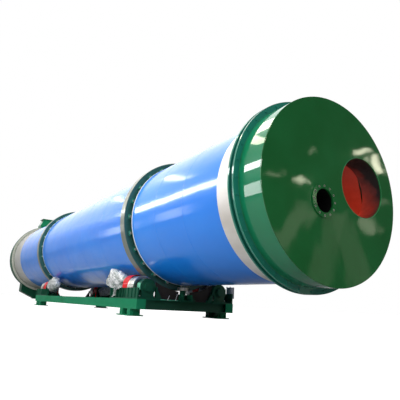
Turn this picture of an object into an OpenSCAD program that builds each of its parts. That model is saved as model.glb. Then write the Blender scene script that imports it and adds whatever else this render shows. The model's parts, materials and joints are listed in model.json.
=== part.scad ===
// Rotary drum dryer on a welded skid.
// Millimetres. X runs along the drum towards the inlet hood, Z is up, and the floor is z = 0.
// Left is the -Y side and right is the +Y side. Near is the inlet end (+X), far the outlet end (-X).
// The origin is on the floor, under the middle of the overall length.

/* [Drum] */
// Height of the drum's axis above the floor
axis_height = 1800; // [1700:5:1900]
// Outside diameter of the bare shell, under the tyres
shell_d = 2200; // [2000:10:2400]
// Thickness of the shell's wall
shell_t = 20; // [12:1:30]
// From the bare shell out to the outside of the cladding
lagging_t = 100; // [80:5:110]
// Thickness of the cladding sheet
cladding_t = 3; // [2:0.5:5]
// Distance between the two tyres
tyre_spacing = 6660; // [6000:20:7400]
// From the far tyre to the rim of the outlet hood
far_overhang = 4370; // [3800:10:4800]
// From the near tyre to the flange of the inlet hood
near_overhang = 3380; // [3000:10:3800]
// Length of bare wall outside the outlet hood
far_band = 1200; // [800:10:1600]
// Length of bare wall outside the inlet hood
near_band = 435; // [300:5:600]
// How far each end of the drum reaches into its hood
end_reach = 150; // [100:5:180]

/* [Tyres] */
// Height of the pads between the shell and a tyre
pad_t = 65; // [50:5:80]
// Thickness of a tyre, from its bore to its tread
tyre_t = 135; // [100:5:160]
// Width of a tyre
tyre_w = 200; // [160:5:220]
// Chamfer on the edges of a tyre
tyre_chamfer = 8; // [4:1:12]
// Bare gap in the cladding on each side of a tyre
tyre_gap = 115; // [90:5:140]
// Number of pads under a tyre
pad_count = 12; // [8:1:16]
// Width of a pad around the drum
pad_w = 150; // [80:10:200]
// Length that a pad shows beside the tyre
pad_proud = 70; // [40:5:85]

/* [Lifting flights] */
// Number of lifting flights
flight_count = 12; // [8:1:16]
// Depth of a flight, from the wall inwards
flight_depth = 180; // [120:10:240]
// Width of a flight's bent lip
flight_lip = 90; // [50:5:120]
// Thickness of a flight
flight_t = 12; // [6:1:16]
// Length left free of flights at each end
flight_margin = 350; // [200:10:600]

/* [Hoods] */
// Room between the cladding and the hoods' walls
hood_room = 55; // [30:1:80]
// Wall thickness of both hoods
hood_t = 12; // [6:1:16]
// Depth of the inlet hood, flange included
near_hood_depth = 540; // [460:10:640]
// Depth of the outlet hood, rim included
far_hood_depth = 560; // [500:10:640]
// How far the inlet hood's flange stands out from the hood
flange_lip = 83; // [60:1:110]
// How far the step between the two plates of that flange stands out
flange_step_lip = 38; // [20:1:50]
// Thickness of one flange plate
flange_plate_t = 30; // [20:2:40]
// Length of the step between the plates
flange_step_w = 60; // [40:2:80]
// How far the outlet hood's rim stands out from the hood
rim_lip = 45; // [35:1:60]
// Thickness of that rim
rim_t = 40; // [25:1:60]
// Running clearance between a hood's seal and the drum
seal_gap = 0.3; // [0.2:0.1:0.6]

/* [Openings in the hoods] */
// Diameter of the gas inlet
inlet_d = 846; // [760:2:900]
// Gas inlet's place to the right of the axis
inlet_y = 567; // [520:1:620]
// Gas inlet's place above the axis
inlet_z = 131; // [80:1:180]
// Length of the gas inlet's sleeve
sleeve_len = 300; // [150:10:350]
// Wall of the gas inlet's sleeve
sleeve_t = 8; // [5:1:12]
// Diameter of the round port
port_d = 314; // [280:2:340]
// Round port's place to the left of the axis
port_y = 215; // [200:1:260]
// Round port's place below the axis
port_z = 188; // [150:1:240]
// Outside diameter of the port's ring
port_ring_d = 450; // [430:2:470]
// Thickness of the port's ring
port_ring_t = 14; // [8:1:20]
// Number of bolt holes around the port
port_holes = 12; // [8:1:16]
// Diameter of those holes
port_hole_d = 18; // [12:1:22]
// Diameter of the circle that those holes lie on
port_pcd = 390; // [360:2:410]

/* [Outlet hood's ducts] */
// Length of both ducts along the drum
duct_len = 440; // [360:10:460]
// Wall thickness of both ducts
duct_t = 8; // [5:1:12]
// Half width of the discharge hopper at its shoulders
hopper_shoulder_y = 740; // [600:10:800]
// Depth of the shoulders below the hood
hopper_shoulder_drop = 96; // [40:1:130]
// Half width of the hopper's mouth
hopper_mouth_y = 190; // [150:5:260]
// Height of the mouth above the floor
hopper_h = 171; // [100:1:230]
// Half width of the exhaust duct at its shoulders
exhaust_shoulder_y = 340; // [280:10:400]
// Height of the shoulders above the hood
exhaust_shoulder_rise = 138; // [80:1:180]
// Half width of the exhaust duct's mouth
exhaust_mouth_y = 240; // [200:5:280]
// Height of the mouth above the hood
exhaust_mouth_rise = 381; // [330:1:430]
// Width of the flange around a duct's mouth
duct_flange_w = 50; // [40:2:60]
// Thickness of that flange
duct_flange_t = 12; // [8:1:16]
// Diameter of the flange's corner holes
duct_hole_d = 18; // [12:1:22]

/* [Skid] */
// Length of the side beams beyond each tyre
skid_overhang = 440; // [400:10:520]
// Height and width of every beam
beam = 175; // [160:5:180]
// Thickness of a beam's web
web_t = 9; // [6:1:12]
// Thickness of a beam's flanges
beam_flange_t = 11; // [8:1:14]
// Least height of the beams' underside above the floor
foot_h = 125; // [100:5:150]
// Thickness of a foot's sole
sole_t = 20; // [12:1:25]
// Length of a foot along the skid
foot_len = 460; // [400:10:520]
// Width of a foot across the skid
foot_w = 200; // [160:5:210]
// Length of each of a foot's two posts
foot_post = 130; // [90:5:150]
// How far a foot's middle lies inboard of its tyre
foot_inset = 20; // [0:5:60]
// Margin of the sole around the foot
sole_margin = 45; // [40:1:60]
// Diameter of the anchor holes
anchor_d = 28; // [22:1:32]

/* [Support rollers] */
// Diameter of a support roller
roller_d = 430; // [400:2:440]
// Width of a support roller
roller_w = 260; // [230:5:280]
// Least angle of a roller from straight below the drum's axis
roller_angle = 32; // [31:0.5:34]
// Gap between a tyre and its rollers
tyre_seat = 0.3; // [0.2:0.1:0.5]
// Diameter of a roller's shaft
shaft_d = 120; // [100:2:130]
// Radial running clearance of a shaft in its bearing
shaft_fit = 0.05; // [0.02:0.01:0.08]
// Depth of the recess in a roller's faces
roller_recess = 40; // [20:2:60]
// Diameter of a roller's hub
roller_hub_d = 192; // [170:2:220]
// Width of the rim around that recess
roller_rim_w = 30; // [20:2:50]
// Length of a shaft's outboard end beyond its bearing
shaft_tip = 10; // [4:1:20]
// Width of a bearing housing
bearing_w = 150; // [120:5:160]
// Outside diameter of a bearing housing
bearing_d = 310; // [280:5:320]
// Gap between a roller and a bearing housing
bearing_gap = 40; // [30:2:50]
// Width of a bearing's foot
bearing_foot_w = 330; // [312:2:350]
// Thickness of a bearing's foot
bearing_foot_t = 32; // [20:2:40]
// Width of the neck between a bearing and its foot
bearing_neck_w = 248; // [220:4:280]
// Diameter of a bearing's end cover
cover_d = 200; // [160:5:230]
// Thickness of a bearing's end cover
cover_t = 15; // [8:1:18]

/* [Stands and drives] */
// Thickness of a stand's base plate
plate_t = 18; // [12:1:20]
// Step from the side beam's outer face to the stand's edge
stand_edge = 4; // [0:1:12]
// Step from the end of the skid to a stand's outboard end
stand_end = 10; // [0:1:40]
// Length of a stand inboard of its tyre
stand_in = 850; // [780:10:950]
// Clearance of the roller's window in the base plate
window_gap = 20; // [15:1:25]
// Height of the ribbed side wall of a stand
wall_h = 180; // [120:5:200]
// Thickness of that wall and of its ribs
rib_t = 10; // [8:1:14]
// Gap between the guard and that wall
wall_gap = 8; // [5:1:15]
// Distance between ribs
rib_pitch = 150; // [120:5:200]
// Clearance between a roller and the side wall
roller_wall_gap = 12; // [8:1:20]
// Depth of that wall's ribs beside a roller
rib_depth = 16; // [10:1:30]
// Length of the red guard beside each roller
guard_len = 258; // [240:2:280]
// Clearance between the guard and the foot of the bearing inside it
guard_clear = 17; // [8:1:25]
// Height of the guard's arch centre above the roller's axis
guard_rise = 50; // [30:2:60]
// Thickness of the guard's sheet
guard_t = 8; // [4:1:8]
// Overall length of a wrapped drive
drive_len = 850; // [800:10:900]
// Clearance between the drum and a wrapped drive
drive_clear = 38; // [25:1:80]
// Distance from the roller's axis to the middle of the drive's crown
drive_arm = 333; // [315:1:350]
// Diameter of the gearbox
drive_gear_d = 280; // [250:5:290]
// Length of the gearbox and its nose
drive_gear_len = 290; // [240:10:340]
// Length of the nose on the gearbox
drive_nose = 40; // [30:2:60]
// Diameter of that nose, under its wrap
drive_neck_d = 235; // [210:5:250]
// How far the wrapped nose lies outwards of the roller's axis
drive_neck_y = 85; // [60:5:100]
// Height of the wrapped nose's middle above the roller's axis
drive_neck_rise = 100; // [80:5:115]
// Diameter of the drive's crown
drive_crown_d = 212; // [190:2:220]
// Distance of the crown from the nose's tip
drive_crown_x = 582; // [540:2:600]
// Length of the crown
drive_crown_len = 132; // [100:2:160]
// Diameter of the drive's tail
drive_tail_d = 192; // [170:2:220]
// Length of the tail
drive_tail_len = 72; // [50:2:90]
// Depth of the tail's middle below the crown's middle
drive_tail_drop = 180; // [150:2:200]
// Width of the pedestal under the gearbox
drive_foot_w = 200; // [160:5:240]

/* [Thrust rollers] */
// Diameter of a thrust roller
thrust_d = 220; // [180:5:240]
// Height of a thrust roller
thrust_h = 58; // [40:2:64]
// Clearance between a thrust roller and the tyre
thrust_gap = 5; // [5:0.5:8]
// Diameter of a thrust roller's pin
pin_d = 60; // [50:2:70]
// Overlap of a thrust roller's top above the tyre's lowest point
thrust_rise = 60; // [40:2:64]
// Thickness of the thrust rollers' base plate
thrust_plate_t = 20; // [12:2:40]
// Diameter of the boss under a thrust roller
thrust_boss_d = 120; // [100:2:140]
// Diameter of the cap on a thrust roller's pin
thrust_cap_d = 90; // [80:2:110]
// Thickness of that cap
thrust_cap_t = 10; // [6:1:14]

/* [Hidden] */
ENDS = [1, -1];
SIDES = [-1, 1];
function end_name(e) = e > 0 ? "near" : "far";
function side_name(s) = s > 0 ? "right" : "left";
function place_name(e, s) = str("_", end_name(e), "_", side_name(s));
function station_nodes(kind) = [for (e = ENDS) for (s = SIDES) str(kind, place_name(e, s))];
$fn = 96;

// Small overlap that lets a cut pass right through a face
cut = 1;
// Gap left where a piece sits on or against another that it isn't fixed to
seat = 0.3;
// Diameters about the drum's axis, from the bare shell outwards
drum_bore = shell_d - 2 * shell_t;
drum_d = shell_d + 2 * lagging_t;
tyre_bore = shell_d + 2 * pad_t;
tyre_d = tyre_bore + 2 * tyre_t;
hood_d = drum_d + 2 * (hood_room + hood_t);
flange_d = hood_d + 2 * flange_lip;
flange_step_d = hood_d + 2 * flange_step_lip;
rim_d = hood_d + 2 * rim_lip;
// Places along the drum, with the port rings at both ends of the overall length
hoods_len = far_hood_depth + near_hood_depth + 2 * port_ring_t;
overall_len = hoods_len + far_overhang + tyre_spacing + near_overhang;
back_x = port_ring_t - overall_len / 2;
rim_x = back_x + far_hood_depth;
far_tyre_x = rim_x + far_overhang;
near_tyre_x = far_tyre_x + tyre_spacing;
flange_x = near_tyre_x + near_overhang;
front_x = flange_x + near_hood_depth;
drum_x0 = rim_x - end_reach;
drum_x1 = flange_x + end_reach;
tyre_half_gap = tyre_w / 2 + tyre_gap;
// Roller stations: the rollers' lowest points are level with the top of the beams. A higher drum gets
// taller feet, and a lower one gets rollers that stand further apart
roller_reach = tyre_d / 2 + tyre_seat + roller_d / 2;
beam_z = max(foot_h, axis_height - roller_reach * cos(roller_angle) - roller_d / 2 - beam);
beam_top = beam_z + beam;
stand_top = beam_top + plate_t;
roller_z = beam_top + roller_d / 2;
station_angle = acos((axis_height - roller_z) / roller_reach);
roller_y = roller_reach * sin(station_angle);
bearing_x = roller_w / 2 + bearing_gap;
guard_x = -(roller_w / 2 + window_gap);
drive_x = guard_x - guard_len;
guard_w = bearing_foot_w + 2 * guard_clear;
wall_y = roller_y + guard_w / 2 + guard_t + wall_gap;
lip_y = roller_y + roller_d / 2 + roller_wall_gap;
stand_inner_y = roller_y - roller_d / 2;
stand_outer_y = lip_y + rib_t + rib_depth;
stand_out = skid_overhang - stand_end;
skid_w = 2 * (stand_outer_y + stand_edge);
// The anchor holes lie in the middle of the sole's margin
anchor_dx = foot_len + sole_margin;
anchor_dy = foot_w + sole_margin;
// A drive's crown stands on an arm about the roller's axis, and the arm leans outwards until the
// crown clears the drum: the three axes form a triangle with sides roller_reach, drive_arm and crown_reach
crown_reach = drum_d / 2 + drive_clear + drive_crown_d / 2;
crown_cosine = (pow(roller_reach, 2) + pow(drive_arm, 2) - pow(crown_reach, 2))
    / (2 * roller_reach * drive_arm);
drive_lean = acos(crown_cosine) - station_angle;
motor_y = roller_y + drive_arm * sin(drive_lean);
motor_z = roller_z + drive_arm * cos(drive_lean);
// Thrust rollers, on each side of the near tyre
thrust_x = tyre_w / 2 + thrust_gap + thrust_d / 2;
thrust_top = axis_height - tyre_d / 2 + thrust_rise;
thrust_z = thrust_top - thrust_h;
// Hoods
seal_r = drum_d / 2 + seal_gap;
inlet_shell_x = flange_x + 2 * flange_plate_t + flange_step_w;
duct_x0 = (back_x + hood_t + rim_x - rim_t - duct_len) / 2;
duct_x1 = duct_x0 + duct_len;
hopper_shoulder_z = hood_d / 2 + hopper_shoulder_drop;
hopper_mouth_z = axis_height - hopper_h - duct_flange_t;
exhaust_shoulder_z = hood_d / 2 + exhaust_shoulder_rise;
exhaust_mouth_z = hood_d / 2 + exhaust_mouth_rise;

// A tube or a disc along X, on the drum's axis unless y and z say otherwise
module tube(x0, x1, d_out, d_in = 0, y = 0, z = axis_height) {
    translate([x0, y, z]) rotate([0, 90, 0]) difference() {
        cylinder(d = d_out, h = x1 - x0);
        if (d_in > 0) translate([0, 0, -cut]) cylinder(d = d_in, h = x1 - x0 + 2 * cut);
    }
}

// A solid of revolution about the drum's axis, from points [x, radius]
module turned(points) {
    translate([0, 0, axis_height]) rotate([0, 90, 0]) rotate_extrude()
        polygon([for (p = points) [p[1], p[0]]]);
}

// A box from its lowest and highest corners
module block(a, b) {
    translate(a) cube(b - a);
}

// Places children at a roller station: local +X is outboard and local +Y is outwards
module station(e, s) {
    translate([e > 0 ? near_tyre_x : far_tyre_x, 0, 0])
        mirror([e > 0 ? 0 : 1, 0, 0]) mirror([0, s > 0 ? 0 : 1, 0]) children();
}

// ---- Skid ----

module side_beam(s) {
    x0 = far_tyre_x - skid_overhang;
    x1 = near_tyre_x + skid_overhang;
    y1 = skid_w / 2;
    color("seagreen") mirror([0, s > 0 ? 0 : 1, 0]) difference() {
        block([x0, y1 - beam, beam_z], [x1, y1, beam_top]);
        block([x0 + web_t, y1 - beam - cut, beam_z + beam_flange_t],
              [x1 - web_t, y1 - web_t, beam_top - beam_flange_t]);
    }
}

// An H-beam across the skid, between the side beams, from local x0 outwards
module cross_beam(x0) {
    inner_y = skid_w / 2 - beam;
    difference() {
        block([x0, -inner_y, beam_z], [x0 + beam, inner_y, beam_top]);
        for (side = [x0 - cut, x0 + (beam + web_t) / 2])
            block([side, -inner_y - cut, beam_z + beam_flange_t],
                  [side + (beam - web_t) / 2 + cut, inner_y + cut, beam_top - beam_flange_t]);
    }
}

module skid_end_beams() {
    color("darkgreen") for (e = ENDS) station(e, 1) cross_beam(skid_overhang - beam);
}

module skid_cross_beams() {
    color("darkgreen") for (e = ENDS) station(e, 1) {
        cross_beam(-bearing_x - bearing_w);
        cross_beam(-stand_in + beam / 2);
    }
}

module foot() {
    y0 = skid_w / 2 - beam / 2;
    half = foot_len / 2;
    translate([-foot_inset, y0, 0]) {
        difference() {
            block([-half - sole_margin, -foot_w / 2 - sole_margin, 0],
                  [half + sole_margin, foot_w / 2 + sole_margin, sole_t]);
            for (x = [-1, 1]) for (y = [-1, 1])
                translate([x * anchor_dx / 2, y * anchor_dy / 2, -cut])
                    cylinder(d = anchor_d, h = sole_t + 2 * cut);
        }
        for (x = [-half, half - foot_post])
            block([x, -foot_w / 2, sole_t], [x + foot_post, foot_w / 2, beam_z]);
        block([-half + foot_post, -web_t / 2, sole_t], [half - foot_post, web_t / 2, beam_z]);
    }
}

module skid_feet() {
    color("seagreen") for (e = ENDS) for (s = SIDES) station(e, s) foot();
}

// ---- Roller stations ----

// A stretch of a stand's side wall, with its ribs on the outside
module ribbed_wall(x0, x1, y) {
    top = stand_top + wall_h;
    block([x0, y, stand_top], [x1, y + rib_t, top]);
    for (x = [x0 : rib_pitch : x1 - rib_t])
        block([x, y + rib_t, stand_top], [x + rib_t, stand_outer_y, top]);
    block([x1 - rib_t, y + rib_t, stand_top], [x1, stand_outer_y, top]);
}

module stand(e, s) {
    window_x = roller_w / 2 + window_gap;
    window_y = roller_d / 2 + window_gap;
    gear_top = roller_z - drive_gear_d / 2 - seat;
    color("darkgreen") station(e, s) {
        difference() {
            block([-stand_in, stand_inner_y, beam_top], [stand_out, stand_outer_y, stand_top]);
            block([-window_x, roller_y - window_y, beam_top - cut],
                  [window_x, lip_y, stand_top + cut]);
        }
        ribbed_wall(-stand_in, guard_x, wall_y);
        ribbed_wall(guard_x, stand_out, lip_y);
        block([drive_x - drive_gear_len, roller_y - drive_foot_w / 2, stand_top],
              [drive_x - drive_nose, roller_y + drive_foot_w / 2, gear_top]);
    }
}

module bearing(x0) {
    tube(x0, x0 + bearing_w, bearing_d, y = roller_y, z = roller_z);
    block([x0, roller_y - bearing_neck_w / 2, stand_top],
          [x0 + bearing_w, roller_y + bearing_neck_w / 2, roller_z]);
    block([x0, roller_y - bearing_foot_w / 2, stand_top],
          [x0 + bearing_w, roller_y + bearing_foot_w / 2, stand_top + bearing_foot_t]);
    tube(x0 - cover_t, x0 + bearing_w + cover_t, cover_d, y = roller_y, z = roller_z);
}

module bearings(e, s) {
    color("mediumseagreen") station(e, s) difference() {
        for (x = [-bearing_x - bearing_w, bearing_x]) bearing(x);
        tube(-bearing_x - bearing_w - 2 * cover_t, bearing_x + bearing_w + 2 * cover_t,
             shaft_d + 2 * shaft_fit, y = roller_y, z = roller_z);
    }
}

module roller(e, s) {
    color("silver") station(e, s) {
        difference() {
            tube(-roller_w / 2, roller_w / 2, roller_d, y = roller_y, z = roller_z);
            for (x = [-roller_w / 2 - cut, roller_w / 2 - roller_recess])
                tube(x, x + roller_recess + cut, roller_d - 2 * roller_rim_w, roller_hub_d,
                     roller_y, roller_z);
        }
        tube(drive_x + seat, bearing_x + bearing_w + cover_t + shaft_tip, shaft_d,
             y = roller_y, z = roller_z);
    }
}

module guard(e, s) {
    x0 = drive_x + seat;
    outer = guard_w + 2 * guard_t;
    arch_z = roller_z + guard_rise;
    color("firebrick") station(e, s) difference() {
        union() {
            tube(x0, guard_x, outer, y = roller_y, z = arch_z);
            block([x0, roller_y - outer / 2, stand_top], [guard_x, roller_y + outer / 2, arch_z]);
        }
        tube(drive_x, guard_x + cut, guard_w, y = roller_y, z = arch_z);
        block([drive_x, roller_y - guard_w / 2, stand_top - cut],
              [guard_x + cut, roller_y + guard_w / 2, arch_z]);
    }
}

// A drive: a gearbox on the roller's shaft and a motor above it, both under one plastic cover
module drive(e, s) {
    crown_x = drive_x - drive_crown_x;
    tail_x = drive_x - drive_len;
    color("whitesmoke") station(e, s) hull() {
        tube(drive_x - drive_nose, drive_x, drive_neck_d,
             y = roller_y + drive_neck_y, z = roller_z + drive_neck_rise, $fn = 32);
        tube(drive_x - drive_gear_len, drive_x, drive_gear_d, y = roller_y, z = roller_z, $fn = 32);
        tube(crown_x - drive_crown_len, crown_x, drive_crown_d,
             y = motor_y, z = motor_z, $fn = 32);
        tube(tail_x, tail_x + drive_tail_len, drive_tail_d,
             y = motor_y, z = motor_z - drive_tail_drop, $fn = 32);
    }
}

// ---- Thrust rollers at the near tyre ----

module thrust_stand() {
    plate_top = beam_top + thrust_plate_t;
    color("darkgreen") station(1, 1) {
        block([-bearing_x - bearing_w, -thrust_d / 2, beam_top],
              [skid_overhang, thrust_d / 2, plate_top]);
        for (x = [-thrust_x, thrust_x]) translate([x, 0, 0]) {
            translate([0, 0, plate_top]) cylinder(d = thrust_boss_d, h = thrust_z - seat - plate_top);
            translate([0, 0, thrust_z - seat]) cylinder(d = pin_d, h = thrust_h + 2 * seat);
            translate([0, 0, thrust_top + seat]) cylinder(d = thrust_cap_d, h = thrust_cap_t);
        }
    }
}

module thrust_roller(side) {
    color("dimgray") station(1, 1) translate([side * thrust_x, 0, thrust_z]) difference() {
        cylinder(d = thrust_d, h = thrust_h);
        translate([0, 0, -cut]) cylinder(d = pin_d + 2 * shaft_fit, h = thrust_h + 2 * cut);
    }
}

// ---- Drum ----

module drum_shell() {
    color("slategray") difference() {
        tube(drum_x0, drum_x1, drum_d - 2 * cladding_t, drum_bore);
        for (x = [far_tyre_x, near_tyre_x])
            tube(x - tyre_half_gap, x + tyre_half_gap, drum_d + cut, shell_d);
    }
}

module cladding(x0, x1) {
    tube(x0, x1, drum_d, drum_d - 2 * cladding_t);
}

module cladding_far() { color("royalblue") cladding(rim_x + far_band, far_tyre_x - tyre_half_gap); }
module cladding_middle() {
    color("royalblue") cladding(far_tyre_x + tyre_half_gap, near_tyre_x - tyre_half_gap);
}
module cladding_near() { color("royalblue") cladding(near_tyre_x + tyre_half_gap, flange_x - near_band); }

module bare_bands() {
    color("gainsboro") {
        cladding(drum_x0, rim_x + far_band);
        cladding(flange_x - near_band, drum_x1);
    }
}

module tyre(x) {
    r = tyre_d / 2;
    w = tyre_w / 2;
    c = tyre_chamfer;
    color("darkgray") turned([
        [x - w, tyre_bore / 2], [x - w, r - c], [x - w + c, r],
        [x + w - c, r], [x + w, r - c], [x + w, tyre_bore / 2]]);
}

module tyre_pads() {
    half = tyre_w / 2 + pad_proud;
    color("darkgreen") for (x = [far_tyre_x, near_tyre_x]) for (i = [0 : pad_count - 1]) intersection() {
        tube(x - half, x + half, tyre_bore, shell_d);
        translate([x, 0, axis_height]) rotate([(i + 0.5) * 360 / pad_count, 0, 0])
            block([-half, -pad_w / 2, 0], [half, pad_w / 2, tyre_bore]);
    }
}

module lifting_flights() {
    // The flight's flat edge meets the round wall along both its corners
    edge = sqrt(pow(drum_bore / 2, 2) - pow(flight_t / 2, 2));
    lip_z = edge - flight_depth;
    x0 = drum_x0 + flight_margin;
    x1 = drum_x1 - flight_margin;
    color("sienna") for (i = [0 : flight_count - 1])
        translate([0, 0, axis_height]) rotate([i * 360 / flight_count, 0, 0]) {
            block([x0, -flight_t / 2, lip_z], [x1, flight_t / 2, edge]);
            block([x0, -flight_t / 2, lip_z], [x1, flight_lip, lip_z + flight_t]);
        }
}

// ---- Inlet hood ----

module inlet_hood_flange() {
    x = flange_x;
    a = x + flange_plate_t;
    b = a + flange_step_w;
    c = b + flange_plate_t;
    inner = hood_d / 2 - hood_t;
    color("darkgreen") turned([
        [x, seal_r], [x, flange_d / 2], [a, flange_d / 2], [a, flange_step_d / 2],
        [b, flange_step_d / 2], [b, flange_d / 2], [c, flange_d / 2], [c, inner],
        [a, inner], [a, seal_r]]);
}

module inlet_hood_shell() {
    color("seagreen") tube(inlet_shell_x, front_x - hood_t, hood_d, hood_d - 2 * hood_t);
}

// An end plate with the round port and its bolted ring; the ring stands out on the side that out points to
module port_plate(x, out, gas) {
    ring_x = out > 0 ? x + hood_t : x - port_ring_t;
    ring_y = -port_y;
    ring_z = axis_height - port_z;
    a = x - hood_t - port_ring_t;
    b = x + 2 * hood_t + port_ring_t;
    difference() {
        union() {
            tube(x, x + hood_t, hood_d);
            tube(ring_x, ring_x + port_ring_t, port_ring_d, y = ring_y, z = ring_z);
        }
        tube(a, b, port_d, y = ring_y, z = ring_z);
        for (i = [0 : port_holes - 1]) rotate_about(ring_y, ring_z, i * 360 / port_holes)
            tube(a, b, port_hole_d, y = ring_y, z = ring_z + port_pcd / 2);
        if (gas) tube(x - cut, x + hood_t + cut, inlet_d, y = inlet_y, z = axis_height + inlet_z);
    }
}

module rotate_about(y, z, angle) {
    translate([0, y, z]) rotate([angle, 0, 0]) translate([0, -y, -z]) children();
}

module inlet_hood_front() {
    color("green") port_plate(front_x - hood_t, 1, true);
}

module gas_inlet_sleeve() {
    x1 = front_x - hood_t;
    color("brown") tube(x1 - sleeve_len, x1, inlet_d + 2 * sleeve_t, inlet_d, inlet_y, axis_height + inlet_z);
}

// ---- Outlet hood ----

module outlet_hood_shell() {
    color("darkgreen") difference() {
        turned([
            [back_x + hood_t, hood_d / 2 - hood_t], [back_x + hood_t, hood_d / 2],
            [rim_x - rim_t, hood_d / 2], [rim_x - rim_t, rim_d / 2], [rim_x, rim_d / 2],
            [rim_x, seal_r], [rim_x - rim_t, seal_r], [rim_x - rim_t, hood_d / 2 - hood_t]]);
        duct_hollow(hopper_shoulder_y, -axis_height, 0);
        duct_hollow(exhaust_shoulder_y, 0, hood_d);
    }
}

// The space inside a duct where it passes through the hood's wall
module duct_hollow(half_y, z0, z1) {
    block([duct_x0 + duct_t, duct_t - half_y, axis_height + z0],
          [duct_x1 - duct_t, half_y - duct_t, axis_height + z1]);
}

module outlet_hood_back() {
    color("green") port_plate(back_x, -1, false);
}

// A duct of folded plate that narrows from its shoulders to a flanged mouth; up is 1 or -1
module duct(up, shoulder_y, shoulder_z, mouth_y, mouth_z) {
    past_z = mouth_z + duct_flange_t + cut;
    outline = [[-shoulder_y, 0], [-shoulder_y, shoulder_z], [-mouth_y, mouth_z],
               [mouth_y, mouth_z], [shoulder_y, shoulder_z], [shoulder_y, 0]];
    inner_y = shoulder_y - duct_t;
    inner_mouth = mouth_y - duct_t;
    hollow = [[-inner_y, -cut], [-inner_y, shoulder_z], [-inner_mouth, mouth_z], [-inner_mouth, past_z],
              [inner_mouth, past_z], [inner_mouth, mouth_z], [inner_y, shoulder_z], [inner_y, -cut]];
    hole_x = duct_len / 2 + duct_flange_w / 2;
    hole_y = mouth_y + duct_flange_w / 2;
    translate([duct_x0 + duct_len / 2, 0, axis_height]) mirror([0, 0, up > 0 ? 0 : 1]) difference() {
        union() {
            across_x(outline, duct_len);
            block([-duct_len / 2 - duct_flange_w, -mouth_y - duct_flange_w, mouth_z],
                  [duct_len / 2 + duct_flange_w, mouth_y + duct_flange_w, mouth_z + duct_flange_t]);
        }
        across_x(hollow, duct_len - 2 * duct_t);
        for (x = [-hole_x, hole_x]) for (y = [-hole_y, hole_y])
            translate([x, y, mouth_z - cut]) cylinder(d = duct_hole_d, h = duct_flange_t + 2 * cut);
        // Both ducts are scribed to the round hood
        rotate([0, 90, 0]) cylinder(d = hood_d, h = 2 * duct_len, center = true, $fn = 360);
    }
}

// Extrudes an outline of [y, z] points along X, centred
module across_x(points, length) {
    rotate([90, 0, 90]) linear_extrude(length, center = true) polygon(points);
}

module discharge_hopper() {
    color("darkgreen") duct(-1, hopper_shoulder_y, hopper_shoulder_z, hopper_mouth_y, hopper_mouth_z);
}

module exhaust_duct() {
    color("seagreen") duct(1, exhaust_shoulder_y, exhaust_shoulder_z, exhaust_mouth_y, exhaust_mouth_z);
}

// ---- Nodes ----

side_beam(-1);  // skid_beam_left
side_beam(1);  // skid_beam_right
skid_end_beams();
skid_cross_beams();
skid_feet();
for (e = ENDS) for (s = SIDES) {
    place = place_name(e, s);
    stand(e, s);
    bearings(e, s);
    roller(e, s);
    guard(e, s);
    drive(e, s);
}
thrust_stand();
thrust_roller(1);  // thrust_roller_near
thrust_roller(-1);  // thrust_roller_far
drum_shell();
cladding_far();
cladding_middle();
cladding_near();
bare_bands();
tyre(near_tyre_x);  // tyre_near
tyre(far_tyre_x);  // tyre_far
tyre_pads();
lifting_flights();
inlet_hood_flange();
inlet_hood_shell();
inlet_hood_front();
gas_inlet_sleeve();
outlet_hood_shell();
outlet_hood_back();
discharge_hopper();
exhaust_duct();
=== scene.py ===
"""Looks of a rotary drum dryer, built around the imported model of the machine.

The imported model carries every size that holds, moves or fits. This script gives its nodes their
finishes, and adds what a fitter would add: fasteners, stop blocks, flashings, weld beads, plates and
the plastic film that each drive is wrapped in. Lengths are in metres, X runs along the drum towards
the inlet hood, Z is up, and left is the -Y side.
"""

from __future__ import annotations

import json
import logging
import math
from collections.abc import Callable, Iterator, Sequence
from contextlib import contextmanager
from dataclasses import dataclass, field
from enum import Enum
from itertools import product

import bmesh
import bpy
from mathutils import Matrix, Quaternion, Vector

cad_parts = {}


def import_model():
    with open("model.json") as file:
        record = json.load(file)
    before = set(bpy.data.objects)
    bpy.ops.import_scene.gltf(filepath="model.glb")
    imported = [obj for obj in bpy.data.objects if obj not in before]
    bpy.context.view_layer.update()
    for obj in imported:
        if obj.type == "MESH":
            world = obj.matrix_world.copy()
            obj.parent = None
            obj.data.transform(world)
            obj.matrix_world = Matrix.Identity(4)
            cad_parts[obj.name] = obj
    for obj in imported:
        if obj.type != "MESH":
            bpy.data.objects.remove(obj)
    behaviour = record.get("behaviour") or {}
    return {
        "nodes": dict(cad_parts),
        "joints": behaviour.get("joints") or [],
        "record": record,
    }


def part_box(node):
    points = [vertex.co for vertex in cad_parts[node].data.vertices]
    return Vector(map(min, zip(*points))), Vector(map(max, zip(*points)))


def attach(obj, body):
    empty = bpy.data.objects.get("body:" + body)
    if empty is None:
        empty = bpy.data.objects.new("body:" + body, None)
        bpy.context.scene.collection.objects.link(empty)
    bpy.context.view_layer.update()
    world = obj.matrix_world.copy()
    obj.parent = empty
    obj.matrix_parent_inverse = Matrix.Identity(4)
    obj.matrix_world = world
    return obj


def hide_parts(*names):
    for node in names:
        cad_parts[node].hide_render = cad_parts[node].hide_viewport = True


LOG = logging.getLogger("dryer")
MM = 0.001
UP = Vector((0.0, 0.0, 1.0))
ALONG_X = (0.0, math.pi / 2, 0.0)
Colour = tuple[float, float, float]
Point = Sequence[float]
Piece = bpy.types.Object
Socket = bpy.types.NodeSocket
Material = bpy.types.Material


class Body(Enum):
    """The bodies that pieces ride on."""

    SKID = "skid"
    DRUM = "drum"


class Slot(Enum):
    """The record's material slots, passed along with each new piece; nothing here reads them."""

    GREEN = "green_paint"
    DARK_GREEN = "dark_green_paint"
    BLUE = "blue_cladding"
    BAND = "bare_band"
    RED = "red_paint"
    STEEL = "machined_steel"
    FILM = "plastic_film"


# ---- Finishes ----


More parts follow.
